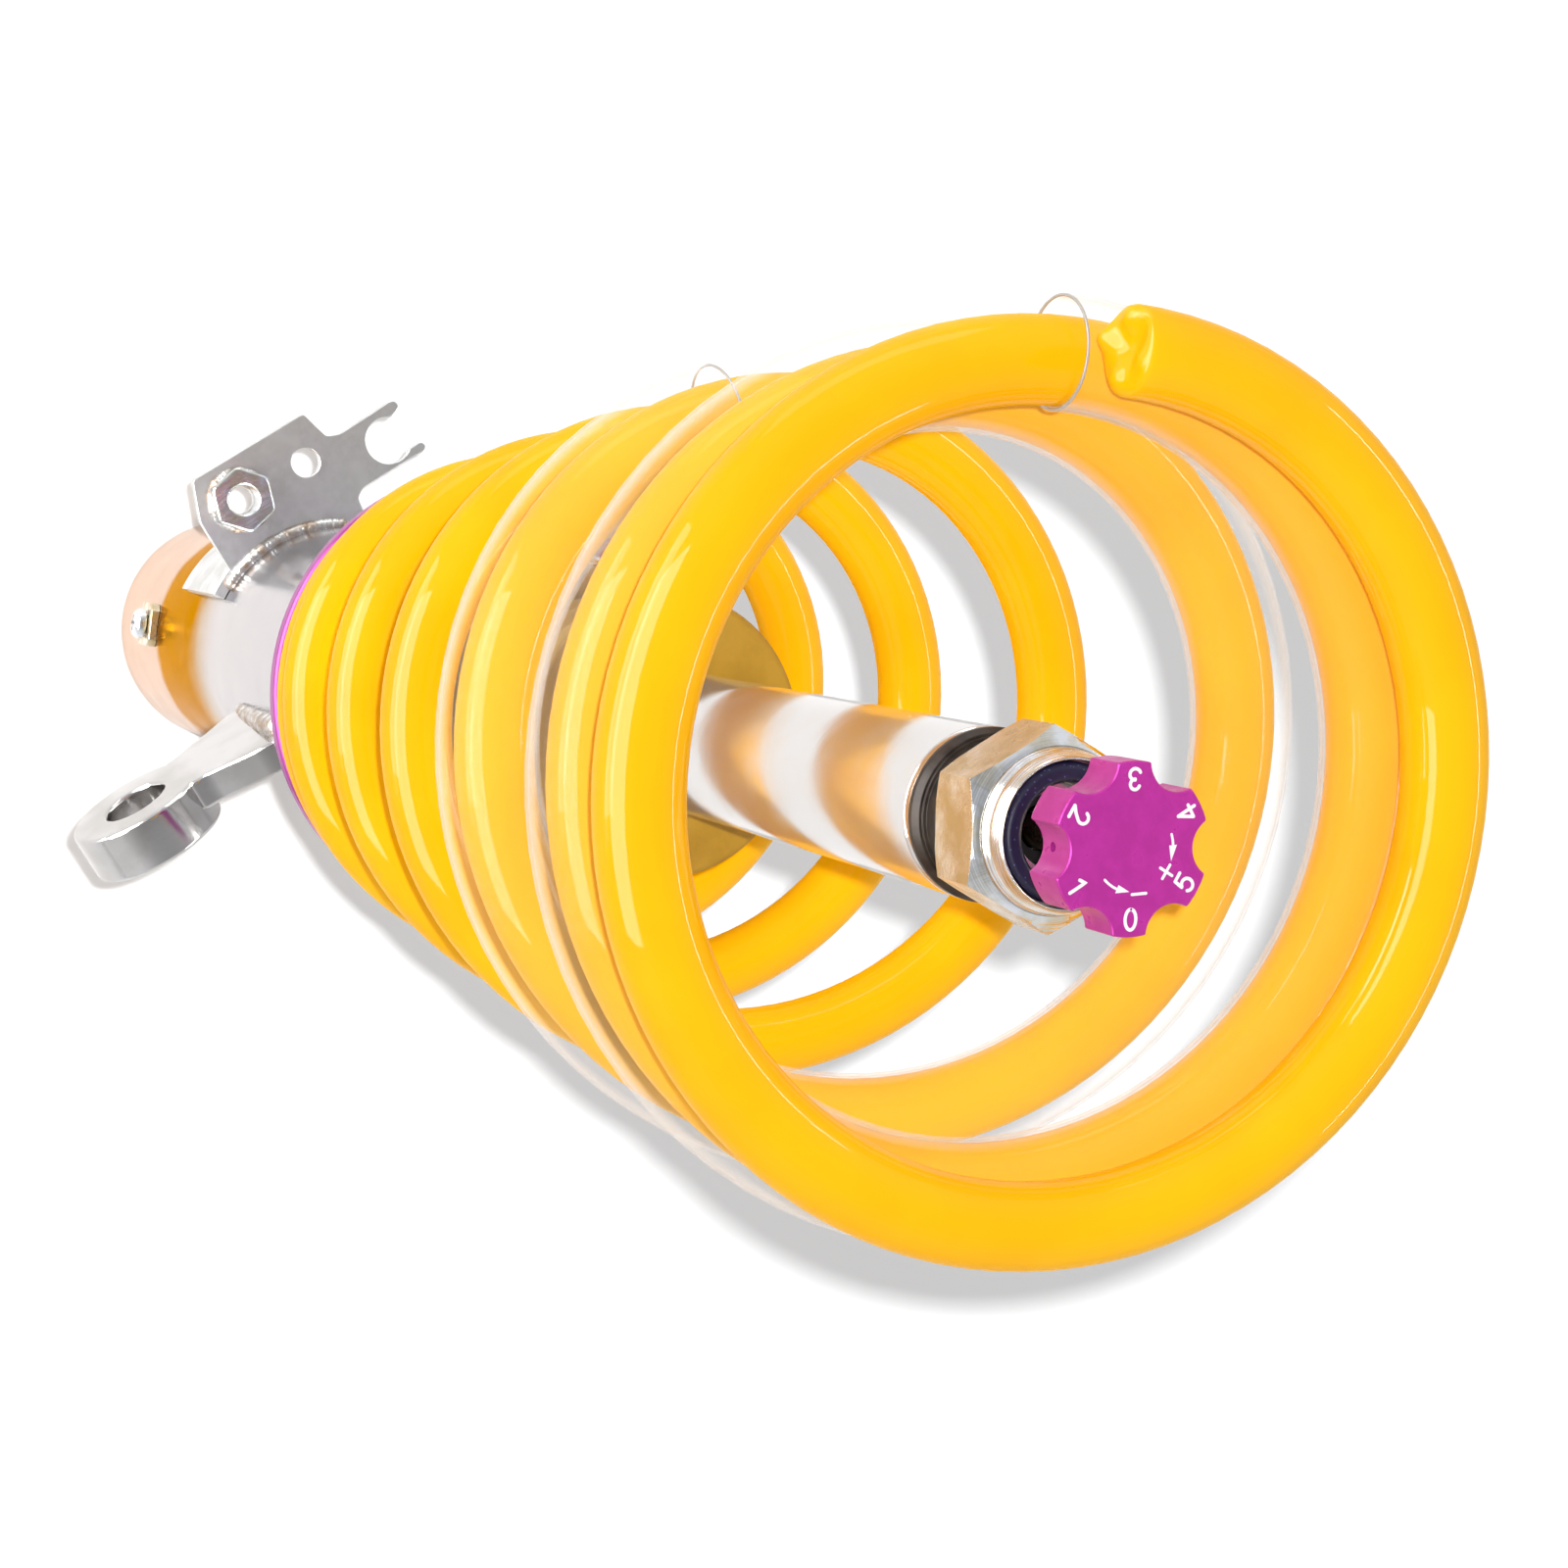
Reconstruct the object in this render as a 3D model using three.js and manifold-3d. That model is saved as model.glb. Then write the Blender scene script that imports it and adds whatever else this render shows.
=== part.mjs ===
// Coilover strut with a conical spring, rebound adjuster and welded brackets.
// Millimetres, +Z runs up the strut axis, the origin is the middle of the tube's bottom face.
import * as THREE from 'three';
import { mergeVertices } from 'three/addons/utils/BufferGeometryUtils.js';
import Module from 'manifold-3d';

const wasm = await Module();
wasm.setup();

// ---- Driving dimensions ----
const tubeRadius = 27;
const tubeWall = 2.5;
const jacketWall = 3;
const jacketTop = 202;
const tubeTop = 306;
const rodRadius = 11;
const rodTop = 466.6;
const studRadius = 6.85;
const wireDiameter = 10.7;
const springTopMean = 51.6;
const springFree = 243;
const springStart = 70.4;
const leanX = 1.7;
const leanY = 4.3;
const seatZ = 256.8;
const collarWall = 3.35;
const perchLip = -0.55;
const nutAcrossFlats = 21.9;
const nutHeight = 14.1;
const knobRadius = 10.05;
const knobHeight = 6.8;
const knobRise = 7.5;
const washerHeight = 7.6;
const earStand = 31.7;
const earZ = 173;
const plateTopZ = 129;

// ---- Clearances and shared wall sizes ----
const gap = 0.3;
const slide = 0.4;
const rad = Math.PI / 180;

// ---- Materials ----
const mat = (color, metalness, roughness, extra = {}) =>
  new THREE.MeshStandardMaterial({ color, metalness, roughness, ...extra });
const M = {
  coat: mat(0xf7b500, 0.0, 0.25),
  purple: mat(0x8a1f86, 0.8, 0.35),
  steel: mat(0xc9c9c6, 1.0, 0.22),
  zinc: mat(0xb8b4a6, 1.0, 0.38),
  chrome: mat(0xe6e6e6, 1.0, 0.06),
  black: mat(0x1c1a19, 0.2, 0.5),
  nylon: mat(0x1c1638, 0.0, 0.5),
  foam: mat(0xc9961a, 0.0, 0.85),
  clear: mat(0xe8eaec, 0.0, 0.25, { transparent: true, opacity: 0.35 }),
  rubber: mat(0x202020, 0.0, 0.7),
  bronze: mat(0x9c7a45, 0.9, 0.4),
  alloy: mat(0xb9bcc0, 0.9, 0.4),
};

// ---- Helpers ----
// Welds the points, drops empty triangles and turns the faces outward.
function clean(source) {
  const g = new THREE.BufferGeometry();
  g.setAttribute('position', source.getAttribute('position').clone());
  if (source.index) g.setIndex(source.index.clone());
  const merged = mergeVertices(g, 1e-4);
  const p = merged.getAttribute('position');
  const kept = [];
  let volume = 0;
  const a = new THREE.Vector3();
  const b = new THREE.Vector3();
  const c = new THREE.Vector3();
  for (let i = 0; i < merged.index.count; i += 3) {
    const [x, y, z] = [0, 1, 2].map((k) => merged.index.getX(i + k));
    if (x === y || y === z || z === x) continue;
    kept.push(x, y, z);
    a.fromBufferAttribute(p, x);
    b.fromBufferAttribute(p, y);
    c.fromBufferAttribute(p, z);
    volume += a.dot(b.cross(c));
  }
  if (volume < 0) {
    for (let i = 0; i < kept.length; i += 3) [kept[i], kept[i + 1]] = [kept[i + 1], kept[i]];
  }
  merged.setIndex(kept);
  return merged;
}

function solid(geometry) {
  const g = clean(geometry);
  const mesh = new wasm.Mesh({
    numProp: 3,
    vertProperties: new Float32Array(g.getAttribute('position').array),
    triVerts: new Uint32Array(g.index.array),
  });
  mesh.merge();
  return new wasm.Manifold(mesh);
}

function geometryOf(manifold) {
  const mesh = manifold.getMesh();
  const g = new THREE.BufferGeometry();
  g.setAttribute('position', new THREE.BufferAttribute(new Float32Array(mesh.vertProperties), 3));
  g.setIndex(new THREE.BufferAttribute(new Uint32Array(mesh.triVerts), 1));
  return g;
}

const join = (list) => list.reduce((s, g) => s.add(g));
const cut = (body, tools) => geometryOf(tools.reduce((s, t) => s.subtract(t), body));

// A closed profile of [radius, z] turned about the strut axis.
function turned(profile, segments = 28) {
  const points = [...profile, profile[0]].map(([r, z]) => new THREE.Vector2(r, z));
  return clean(new THREE.LatheGeometry(points, segments).rotateX(Math.PI / 2));
}

const ring = (inner, outer, z0, z1, segments = 28) =>
  turned([[inner, z0], [outer, z0], [outer, z1], [inner, z1]], segments);

function shapeOf(points) {
  return new THREE.Shape(points.map(([x, y]) => new THREE.Vector2(x, y)));
}

function circlePoints(x, y, r, n) {
  const list = [];
  for (let i = 0; i < n; i += 1) {
    list.push([x + r * Math.cos((2 * Math.PI * i) / n), y + r * Math.sin((2 * Math.PI * i) / n)]);
  }
  return list;
}

// A flat outline pulled up from z0 to z1.
function plate(outline, z0, z1, holes = []) {
  const shape = shapeOf(outline);
  for (const h of holes) shape.holes.push(new THREE.Path(shapeOf(h).getPoints()));
  const g = new THREE.ExtrudeGeometry(shape, { depth: z1 - z0, bevelEnabled: false });
  return clean(g.translate(0, 0, z0));
}

// A round bar of radius r and the given length, from a point along the +Z of `turn`.
function bar(r, length, place, segments = 20) {
  const g = new THREE.CylinderGeometry(r, r, length, segments);
  g.rotateX(Math.PI / 2).translate(0, 0, length / 2);
  return clean(g.applyMatrix4(place));
}

// A frame whose +Z points outward along `angle` at height z, starting at radius r.
function radial(angle, r, z) {
  const m = new THREE.Matrix4().makeRotationZ(angle * rad);
  m.multiply(new THREE.Matrix4().makeTranslation(r, 0, z));
  return m.multiply(new THREE.Matrix4().makeRotationY(Math.PI / 2));
}

const at = (x, y, z) => new THREE.Matrix4().makeTranslation(x, y, z);
const hexagon = (flats, turn = 0) => {
  const list = [];
  for (let i = 0; i < 6; i += 1) {
    const a = (60 * i + turn) * rad;
    list.push([(flats / Math.sqrt(3)) * Math.cos(a), (flats / Math.sqrt(3)) * Math.sin(a)]);
  }
  return list;
};

const group = new THREE.Group();
group.name = 'coilover';
function piece(name, geometry, material) {
  const g = clean(geometry);
  g.computeVertexNormals();
  const mesh = new THREE.Mesh(g, material);
  mesh.name = name;
  group.add(mesh);
}

// ---- Strut tube and its base ----
const tubeInner = tubeRadius - tubeWall;
const plug = tubeInner - gap;
const capTop = 12;
piece('base_cap', turned([
  [0, 0],
  [tubeRadius - 2, 0],
  [tubeRadius, 2],
  [tubeRadius, 6],
  [plug, 6],
  [plug, capTop],
  [0, capTop],
], 36), M.steel);
piece('strut_tube', turned([
  [tubeInner, 6 + gap],
  [tubeRadius, 6 + gap],
  [tubeRadius, tubeTop],
  [tubeInner, tubeTop],
], 36), M.steel);

// ---- Lower jacket that the brackets are welded to ----
const jacketRadius = tubeRadius + gap + jacketWall;
piece('lower_jacket', turned([
  [tubeRadius + gap, 1],
  [jacketRadius - 1, 1],
  [jacketRadius, 2],
  [jacketRadius, jacketTop - 1.5],
  [jacketRadius - 1.5, jacketTop],
  [tubeRadius + gap, jacketTop],
], 40), M.steel);

// ---- Threaded sleeve that carries the spring perch ----
const sleeveInner = tubeRadius + gap;
const sleeveRadius = tubeRadius + 2.3;
const sleeveLow = jacketTop + gap;
const sleeveHigh = seatZ + 31.2;
piece('thread_sleeve', turned([
  [sleeveInner, sleeveLow],
  [sleeveRadius - 1, sleeveLow],
  [sleeveRadius, sleeveLow + 1],
  [sleeveRadius, sleeveHigh - 1],
  [sleeveRadius - 1, sleeveHigh],
  [sleeveInner, sleeveHigh],
], 36), M.steel);

// ---- Damper internals held by the tube ----
const cylOuter = 18;
const cylInner = 16;
const guideLow = tubeTop - 26;
const valveTop = capTop + 12;
const footSlots = [0, 60, 120].map((a) => {
  const g = new THREE.BoxGeometry(60, 4, 4);
  return solid(g.applyMatrix4(new THREE.Matrix4().makeRotationZ(a * rad).multiply(at(0, 0, capTop))));
});
const valveBody = solid(turned([
  [3.4, capTop + gap],
  [plug - 3.2, capTop + gap],
  [plug - 3.2, capTop + 4],
  [cylInner - gap, capTop + 4],
  [cylInner - gap, valveTop],
  [3.4, valveTop],
], 24));
piece('base_valve', cut(valveBody, footSlots), M.alloy);
piece('base_valve_shims', ring(3.4, 11, valveTop + gap, valveTop + 1.1, 18), M.zinc);
piece('base_valve_bolt', turned([
  [0, capTop + 1],
  [3, capTop + 1],
  [3, valveTop + 1.4],
  [5.5, valveTop + 1.4],
  [5.5, valveTop + 5],
  [0, valveTop + 5],
], 24), M.zinc);
piece('inner_cylinder', ring(cylInner, cylOuter, capTop + 4 + gap, guideLow - gap, 28), M.steel);

const bushOuter = rodRadius + 1.6;
const guideTop = tubeTop - 10;
const guideBody = solid(turned([
  [bushOuter + gap, guideLow - 12],
  [cylInner - gap, guideLow - 12],
  [cylInner - gap, guideLow],
  [plug, guideLow],
  [plug, guideTop],
  [bushOuter + gap, guideTop],
], 28));
const returnHoles = [0, 90, 180, 270].map((a) => {
  const r = (cylOuter + plug) / 2;
  return solid(bar(1.6, 20, at(r * Math.cos(a * rad), r * Math.sin(a * rad), guideLow - 2), 10));
});
piece('rod_guide', cut(guideBody, returnHoles), M.alloy);
piece('guide_bush', ring(rodRadius + gap, bushOuter, guideLow - 10, guideTop - 1), M.bronze);
piece('oil_seal', turned([
  [rodRadius + gap, guideTop + gap],
  [plug, guideTop + gap],
  [plug, guideTop + 5],
  [rodRadius + 2.4, guideTop + 5],
  [rodRadius + gap, guideTop + 2.6],
], 28), M.rubber);

const wiperOuter = rodRadius + 3.7;
const glandTop = tubeTop + 5;
const glandBody = solid(turned([
  [wiperOuter + gap, guideTop + 5 + gap],
  [plug, guideTop + 5 + gap],
  [plug, tubeTop + gap],
  [tubeRadius, tubeTop + gap],
  [tubeRadius, glandTop - 0.8],
  [tubeRadius - 0.8, glandTop],
  [wiperOuter + gap, glandTop],
], 36));
const pinHoles = [45, 135, 225, 315].map((a) => {
  const r = tubeRadius - 6;
  return solid(bar(2, 5, at(r * Math.cos(a * rad), r * Math.sin(a * rad), glandTop - 3), 12));
});
piece('gland_nut', cut(glandBody, pinHoles), M.steel);
piece('rod_wiper', turned([
  [rodRadius + gap, guideTop + 6],
  [wiperOuter, guideTop + 6],
  [wiperOuter, glandTop - 0.5],
  [rodRadius + 1.6, glandTop - 0.5],
  [rodRadius + gap, glandTop + 0.2],
], 28), M.rubber);

// ---- Drop-link ear, welded to the jacket ----
const earReach = jacketRadius + earStand;
const earTilt = 7 * rad;
const bossRadius = 15;
const bossHalf = 5.5;
const neckHalf = [17, 11];
const eyeRadius = 6.9;
// Laid out in [x, height above earZ], then stood up so the plate faces +Y.
function earSolid(outline, y0, y1, holes = []) {
  const g = plate(outline, -y1, -y0, holes).rotateX(Math.PI / 2);
  return solid(g.rotateX(earTilt).translate(0, 0, earZ));
}
const boss = earSolid(
  circlePoints(-earReach, 0, bossRadius, 32),
  -bossHalf,
  bossHalf,
);
const neckEnd = -earReach + bossRadius - 5;
const neck = earSolid([
  [-jacketRadius + 4, -neckHalf[0]],
  [-jacketRadius + 4, neckHalf[0]],
  [-jacketRadius - 4, neckHalf[0]],
  [neckEnd + 4, neckHalf[1]],
  [neckEnd, neckHalf[1]],
  [neckEnd, -neckHalf[1]],
  [neckEnd + 4, -neckHalf[1]],
  [-jacketRadius - 4, -neckHalf[0]],
], -1.5, bossHalf);
const weldRound = 2.6;
const weld = earSolid([
  [-jacketRadius + 4, -neckHalf[0] - weldRound],
  [-jacketRadius + 4, neckHalf[0] + weldRound],
  [-jacketRadius - 1.2, neckHalf[0] + weldRound],
  [-jacketRadius - 3.4, neckHalf[0]],
  [-jacketRadius - 3.4, -neckHalf[0]],
  [-jacketRadius - 1.2, -neckHalf[0] - weldRound],
], -1.5 - weldRound, bossHalf + weldRound);
const tubeSpace = solid(turned([
  [0, -20],
  [jacketRadius + gap, -20],
  [jacketRadius + gap, tubeTop],
  [0, tubeTop],
], 72));
const earHole = earSolid(circlePoints(-earReach, 0, eyeRadius, 24), -bossHalf - 1, bossHalf + 1);
piece('drop_link_ear', cut(join([boss, neck, weld]), [tubeSpace, earHole]), M.steel);

// ---- Hose bracket: a flat plate with a C clip, and a flange curved onto the tube ----
const plateThick = 2.5;
const edgeY = jacketRadius - 3.3;
const clip = { x: 36.5, y: edgeY + 10.3, r: 5.5 };
const clipArc = [];
for (let a = 52; a <= 308; a += 16) {
  clipArc.push([clip.x + clip.r * Math.cos(a * rad), clip.y + clip.r * Math.sin(a * rad)]);
}
const bracketOutline = [
  [-8, edgeY + 25.7],
  [-11.5, edgeY + 17],
  [-11.5, edgeY - 1],
  [-8, edgeY - 1],
  [16, edgeY - 4.5],
  [21.5, edgeY - 8],
  [22.7, edgeY - 1.7],
  [23.2, edgeY + 2.5],
  [25.5, edgeY + 4],
  [39.5, edgeY + 4],
  [42.8, edgeY + 3.7],
  [43.8, edgeY + 4.7],
  [43.1, edgeY + 6.1],
  ...clipArc.reverse(),
  [41.8, edgeY + 15.2],
  [43, edgeY + 16],
  [42.6, edgeY + 17.5],
  [41.2, edgeY + 17.9],
  [36.5, edgeY + 17.6],
  [27, edgeY + 17.4],
  [24.2, edgeY + 18.6],
  [22.2, edgeY + 25.8],
];
const nutAt = [-1, edgeY + 16.5];
const bracketPlate = solid(plate(bracketOutline, plateTopZ - plateThick, plateTopZ, [
  circlePoints(nutAt[0], nutAt[1], 3.3, 18),
  circlePoints(16.8, edgeY + 15.9, 3.4, 18),
]));
const flangeDrop = 40;
const flangeOutline = [];
for (let a = 42; a <= 122; a += 8) {
  flangeOutline.push([jacketRadius * Math.cos(a * rad), jacketRadius * Math.sin(a * rad)]);
}
for (let a = 122; a >= 42; a -= 8) {
  const r = jacketRadius + gap + plateThick;
  flangeOutline.push([r * Math.cos(a * rad), r * Math.sin(a * rad)]);
}
const flange = solid(plate(flangeOutline, plateTopZ - flangeDrop, plateTopZ));
const corner = new THREE.BoxGeometry(40, 60, 40).rotateY(-35 * rad);
const cornerCut = solid(corner.translate(24, 30, plateTopZ - flangeDrop - 12));
piece('hose_bracket', cut(join([bracketPlate, flange]), [tubeSpace, cornerCut]), M.zinc);
piece('bracket_weld_nut', plate(
  hexagon(13.5, 12).map(([x, y]) => [x + nutAt[0], y + nutAt[1]]),
  plateTopZ + gap,
  plateTopZ + 5.5,
  [circlePoints(nutAt[0], nutAt[1], 3.4, 18)],
), M.zinc);

// ---- Small cable tab lying on the jacket, with its screw ----
const tabAngle = 141;
const tabZ = 50;
const tabThick = 1.6;
const tabPlace = radial(tabAngle, jacketRadius + gap, tabZ);
const tabOutline = [[-7, -4], [-4, -5.5], [7, -5.5], [9, -3], [9, 3], [7, 5.5], [-4, 5.5], [-7, 4]];
const tabPlate = plate(tabOutline, -1.5, tabThick).applyMatrix4(tabPlace);
const tabHole = bar(2.2 + gap, 12, radial(tabAngle, jacketRadius - 3, tabZ), 14);
piece('cable_tab', cut(solid(tabPlate), [tubeSpace, solid(tabHole)]), M.zinc);
const tabScrew = turned([
  [0, gap],
  [2.2, gap],
  [2.2, tabThick + gap],
  [3.9, tabThick + gap],
  [3.9, tabThick + 2.2],
  [2.9, tabThick + 3.2],
  [0, tabThick + 3.2],
], 16);
piece('cable_tab_screw', tabScrew.applyMatrix4(tabPlace), M.zinc);

// ---- Adjuster ring and spring perch on the sleeve thread ----
const ringBore = sleeveRadius + gap;
const hubRadius = sleeveRadius + 6.7;
const hubLow = seatZ - 18.8;
const hubHigh = seatZ - 6.8;
const ringTop = hubLow - 1.5;
const ringLow = ringTop - 12.5;
function hookSlots(z0, z1, shift) {
  const tools = [];
  for (let i = 0; i < 8; i += 1) {
    const g = new THREE.BoxGeometry(6, 5, z1 - z0).translate(hubRadius + 0.4, 0, (z0 + z1) / 2);
    tools.push(solid(g.rotateZ((45 * i + shift) * rad)));
  }
  return tools;
}
const lockAngle = 201;
const lockHole = solid(bar(2.3, 12, radial(lockAngle, sleeveRadius - 1, (ringLow + ringTop) / 2), 14));
piece('adjuster_ring', cut(solid(turned([
  [ringBore, ringLow],
  [hubRadius - 0.8, ringLow],
  [hubRadius, ringLow + 0.8],
  [hubRadius, ringTop - 0.8],
  [hubRadius - 0.8, ringTop],
  [ringBore, ringTop],
])), [...hookSlots(ringLow - 1, ringTop + 1, 0), lockHole]), M.alloy);
const lockLength = hubRadius - ringBore - 0.6;
piece('ring_lock_screw', bar(
  2,
  lockLength,
  radial(lockAngle, ringBore + gap, (ringLow + ringTop) / 2),
  14,
), M.black);

const collarRadius = ringBore + collarWall;
const springSeatMean = collarRadius + 0.5 + wireDiameter / 2;
const perchRadius = springSeatMean + wireDiameter / 2 + perchLip;
const collarTop = seatZ + 7.2;
piece('spring_perch', cut(solid(turned([
  [ringBore, hubLow],
  [hubRadius - 0.8, hubLow],
  [hubRadius, hubLow + 0.8],
  [hubRadius, hubHigh],
  [perchRadius - 3, hubHigh + 1.2],
  [perchRadius, hubHigh + 3],
  [perchRadius, seatZ - 0.6],
  [perchRadius - 0.6, seatZ],
  [collarRadius, seatZ],
  [collarRadius, collarTop - 1.5],
  [collarRadius - 1.5, collarTop],
  [ringBore, collarTop],
], 40)), hookSlots(hubLow - 1, hubHigh - 2, 22.5)), M.purple);

// ---- Coil spring and the clear sleeve on its second and third turns ----
const sleeveProud = 2;
const sleeveSkin = 0.8;
const lowZ = seatZ + gap + wireDiameter / 2;
const highZ = seatZ + springFree - wireDiameter / 2;
const firstPitch = wireDiameter + sleeveProud + 1.2;
const lastPitch = wireDiameter + gap;
const openShare = [24.1, 49.1, 47.7, 44.2, 43.5];
const openSum = openShare.reduce((s, v) => s + v, 0);
const openLength = highZ - lowZ - firstPitch - lastPitch;
const turnZ = [highZ, highZ - firstPitch];
for (const share of openShare) {
  turnZ.push(turnZ[turnZ.length - 1] - (openLength * share) / openSum);
}
turnZ.push(lowZ);
const radiusShare = [1, 0.966, 0.845, 0.75, 0.56, 0.379, 0.155, 0];
const turnR = radiusShare.map((s) => springSeatMean + (springTopMean - springSeatMean) * s);

// Smooth value at turn number t of a list with one entry per turn.
function smooth(list, t) {
  const i = Math.min(Math.floor(t), list.length - 2);
  const u = t - i;
  const slope = (k) => {
    if (k === 0) return list[1] - list[0];
    if (k === list.length - 1) return list[k] - list[k - 1];
    const [d0, d1] = [list[k] - list[k - 1], list[k + 1] - list[k]];
    return d0 * d1 > 0 ? (2 * d0 * d1) / (d0 + d1) : 0;
  };
  const [h0, h1] = [list[i], list[i + 1]];
  const [m0, m1] = [slope(i), slope(i + 1)];
  const u2 = u * u;
  const u3 = u2 * u;
  return (2 * u3 - 3 * u2 + 1) * h0 + (u3 - 2 * u2 + u) * m0 + (3 * u2 - 2 * u3) * h1 + (u3 - u2) * m1;
}
class Helix extends THREE.Curve {
  constructor(from, to) {
    super();
    this.from = from;
    this.to = to;
  }

  getPoint(u, target = new THREE.Vector3()) {
    const t = this.from + (this.to - this.from) * u;
    const a = (springStart - 360 * t) * rad;
    const r = smooth(turnR, t);
    const z = smooth(turnZ, t);
    const lean = (z - lowZ) / (highZ - lowZ);
    return target.set(leanX * lean + r * Math.cos(a), leanY * lean + r * Math.sin(a), z);
  }

  getPointAt(u, target) {
    return this.getPoint(u, target);
  }

  getTangentAt(u, target) {
    return this.getTangent(u, target);
  }
}
const wireSides = 8;
function coil(shape, from, to, perTurn) {
  const steps = Math.round((to - from) * perTurn);
  return clean(new THREE.ExtrudeGeometry(shape, { steps, extrudePath: new Helix(from, to) }));
}
// The outline is grown a little so the many-sided wire keeps the round wire's width.
const grow = (r, n) => r / Math.cos(Math.PI / n) ** 0.5;
const wireStart = 0.046;
const lastTurn = turnZ.length - 1;
const wireShape = shapeOf(circlePoints(0, 0, grow(wireDiameter / 2, wireSides), wireSides));
piece('coil_spring', coil(wireShape, wireStart, lastTurn, 24), M.coat);
const skinOuter = wireDiameter / 2 + sleeveProud;
const skinSides = 10;
const skinCorner = 1 / Math.cos(Math.PI / skinSides);
const skinShape = shapeOf(circlePoints(0, 0, skinOuter * skinCorner, skinSides));
const skinInner = circlePoints(0, 0, (skinOuter - sleeveSkin) * skinCorner, skinSides);
skinShape.holes.push(new THREE.Path(shapeOf(skinInner).getPoints()));
piece('clear_sleeve', coil(skinShape, 1.022, 2.88, 24), M.clear);

// ---- Bump stop round the rod ----
const stopLow = glandTop + 0.6;
const stopHigh = stopLow + 39.7;
const stopBore = rodRadius + slide;
const stopWide = 23.6;
const stopProfile = [[stopBore, stopLow], [stopWide - 4, stopLow]];
const waves = 3;
for (let i = 0; i < waves; i += 1) {
  const z = stopLow + 2 + (i * (stopHigh - stopLow - 9)) / waves;
  const step = (stopHigh - stopLow - 9) / waves;
  stopProfile.push([stopWide - 2.4, z + step * 0.3]);
  stopProfile.push([stopWide - 2.4, z + step * 0.55]);
  stopProfile.push([stopWide - 6.4, z + step * 0.9]);
}
stopProfile.push([stopWide, stopHigh - 5]);
stopProfile.push([stopWide, stopHigh - 0.8]);
stopProfile.push([stopWide - 0.8, stopHigh]);
stopProfile.push([stopBore, stopHigh]);
piece('bump_stop', turned(stopProfile, 28), M.foam);

// ---- Piston rod with its piston ----
const shaftRadius = 2.6;
const rodBore = shaftRadius + slide;
const spigotRadius = 5.5;
const pistonTop = guideLow - 36;
const pistonLow = pistonTop - 12;
const rodLow = pistonLow - 13;
const studTop = rodTop + 17.6;
piece('piston_rod', turned([
  [rodBore, rodLow],
  [spigotRadius, rodLow],
  [spigotRadius, pistonTop + 1.8],
  [rodRadius, pistonTop + 1.8],
  [rodRadius, rodTop - 0.8],
  [rodRadius - 0.8, rodTop],
  [studRadius, rodTop],
  [studRadius, studTop - 1],
  [studRadius - 1, studTop],
  [rodBore + 1.6, studTop],
  [rodBore + 1.6, studTop - 6],
  [rodBore, studTop - 6],
], 28), M.chrome);
const pistonBore = spigotRadius + gap;
const pistonBody = solid(turned([
  [pistonBore, pistonLow],
  [cylInner - 0.6, pistonLow],
  [cylInner - 0.6, pistonLow + 2],
  [cylInner - 1.6, pistonLow + 2],
  [cylInner - 1.6, pistonTop - 2],
  [cylInner - 0.6, pistonTop - 2],
  [cylInner - 0.6, pistonTop],
  [pistonBore, pistonTop],
], 24));
const ports = [];
for (let i = 0; i < 6; i += 1) {
  const a = 60 * i * rad;
  ports.push(solid(bar(1.6, 16, at(10.2 * Math.cos(a), 10.2 * Math.sin(a), pistonLow - 2), 10)));
}
piece('piston', cut(pistonBody, ports), M.alloy);
piece('piston_band', ring(
  cylInner - 1.6 + gap,
  cylInner - gap,
  pistonLow + 2 + gap,
  pistonTop - 2 - gap,
  24,
), M.bronze);
piece('rebound_shims', ring(pistonBore, 8.2, pistonTop + gap, pistonTop + 1.5, 18), M.zinc);
piece('bump_shims', ring(pistonBore, 8.2, pistonLow - 1.5, pistonLow - gap, 18), M.zinc);
piece('piston_nut', plate(hexagon(16), pistonLow - 10, pistonLow - 1.8, [
  circlePoints(0, 0, pistonBore, 24),
]), M.zinc);
piece('rebound_bumper', turned([
  [rodRadius + gap, guideLow - 26],
  [cylInner - 1.2, guideLow - 26],
  [cylInner - 1.2, guideLow - 17.5],
  [cylInner - 2.4, guideLow - 16],
  [rodRadius + gap, guideLow - 16],
], 24), M.rubber);

// ---- Washer, locknut and nylon insert on the rod's stud ----
const studBore = studRadius + gap;
const land = rodRadius - studBore;
const washerLow = rodTop + gap;
const nutLow = washerLow + washerHeight + gap;
piece('top_washer', turned([
  [studBore, washerLow],
  [rodRadius - 0.2, washerLow],
  [rodRadius, washerLow + 0.3],
  [rodRadius, washerLow + 1.2],
  [rodRadius - 0.27 * land, washerLow + 2],
  [rodRadius - 0.4 * land, washerLow + 2],
  [rodRadius - 0.4 * land, washerLow + 4.6],
  [rodRadius - 0.6 * land, washerLow + 5],
  [rodRadius - 0.6 * land, washerLow + washerHeight],
  [studBore, washerLow + washerHeight],
], 36), M.black);
const nutTop = nutLow + nutHeight;
const hexTop = nutLow + nutHeight * 0.74;
const insertOuter = studRadius + 1.7;
const hexCorner = nutAcrossFlats / Math.sqrt(3);
const hexBlank = solid(plate(hexagon(nutAcrossFlats, 58), nutLow, hexTop));
const hexChamfer = solid(turned([
  [0, nutLow],
  [hexCorner - 1.3, nutLow],
  [hexCorner + 0.1, nutLow + 0.9],
  [hexCorner + 0.1, hexTop - 1.5],
  [hexCorner - 2.5, hexTop],
  [0, hexTop],
], 36));
const nutCollar = solid(turned([
  [0, hexTop - 1],
  [nutAcrossFlats / 2 - 0.9, hexTop - 1],
  [nutAcrossFlats / 2 - 0.9, hexTop + 0.6],
  [nutAcrossFlats / 2 - 1.3, nutTop - 1.2],
  [insertOuter + 0.5, nutTop],
  [0, nutTop],
], 36));
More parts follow.
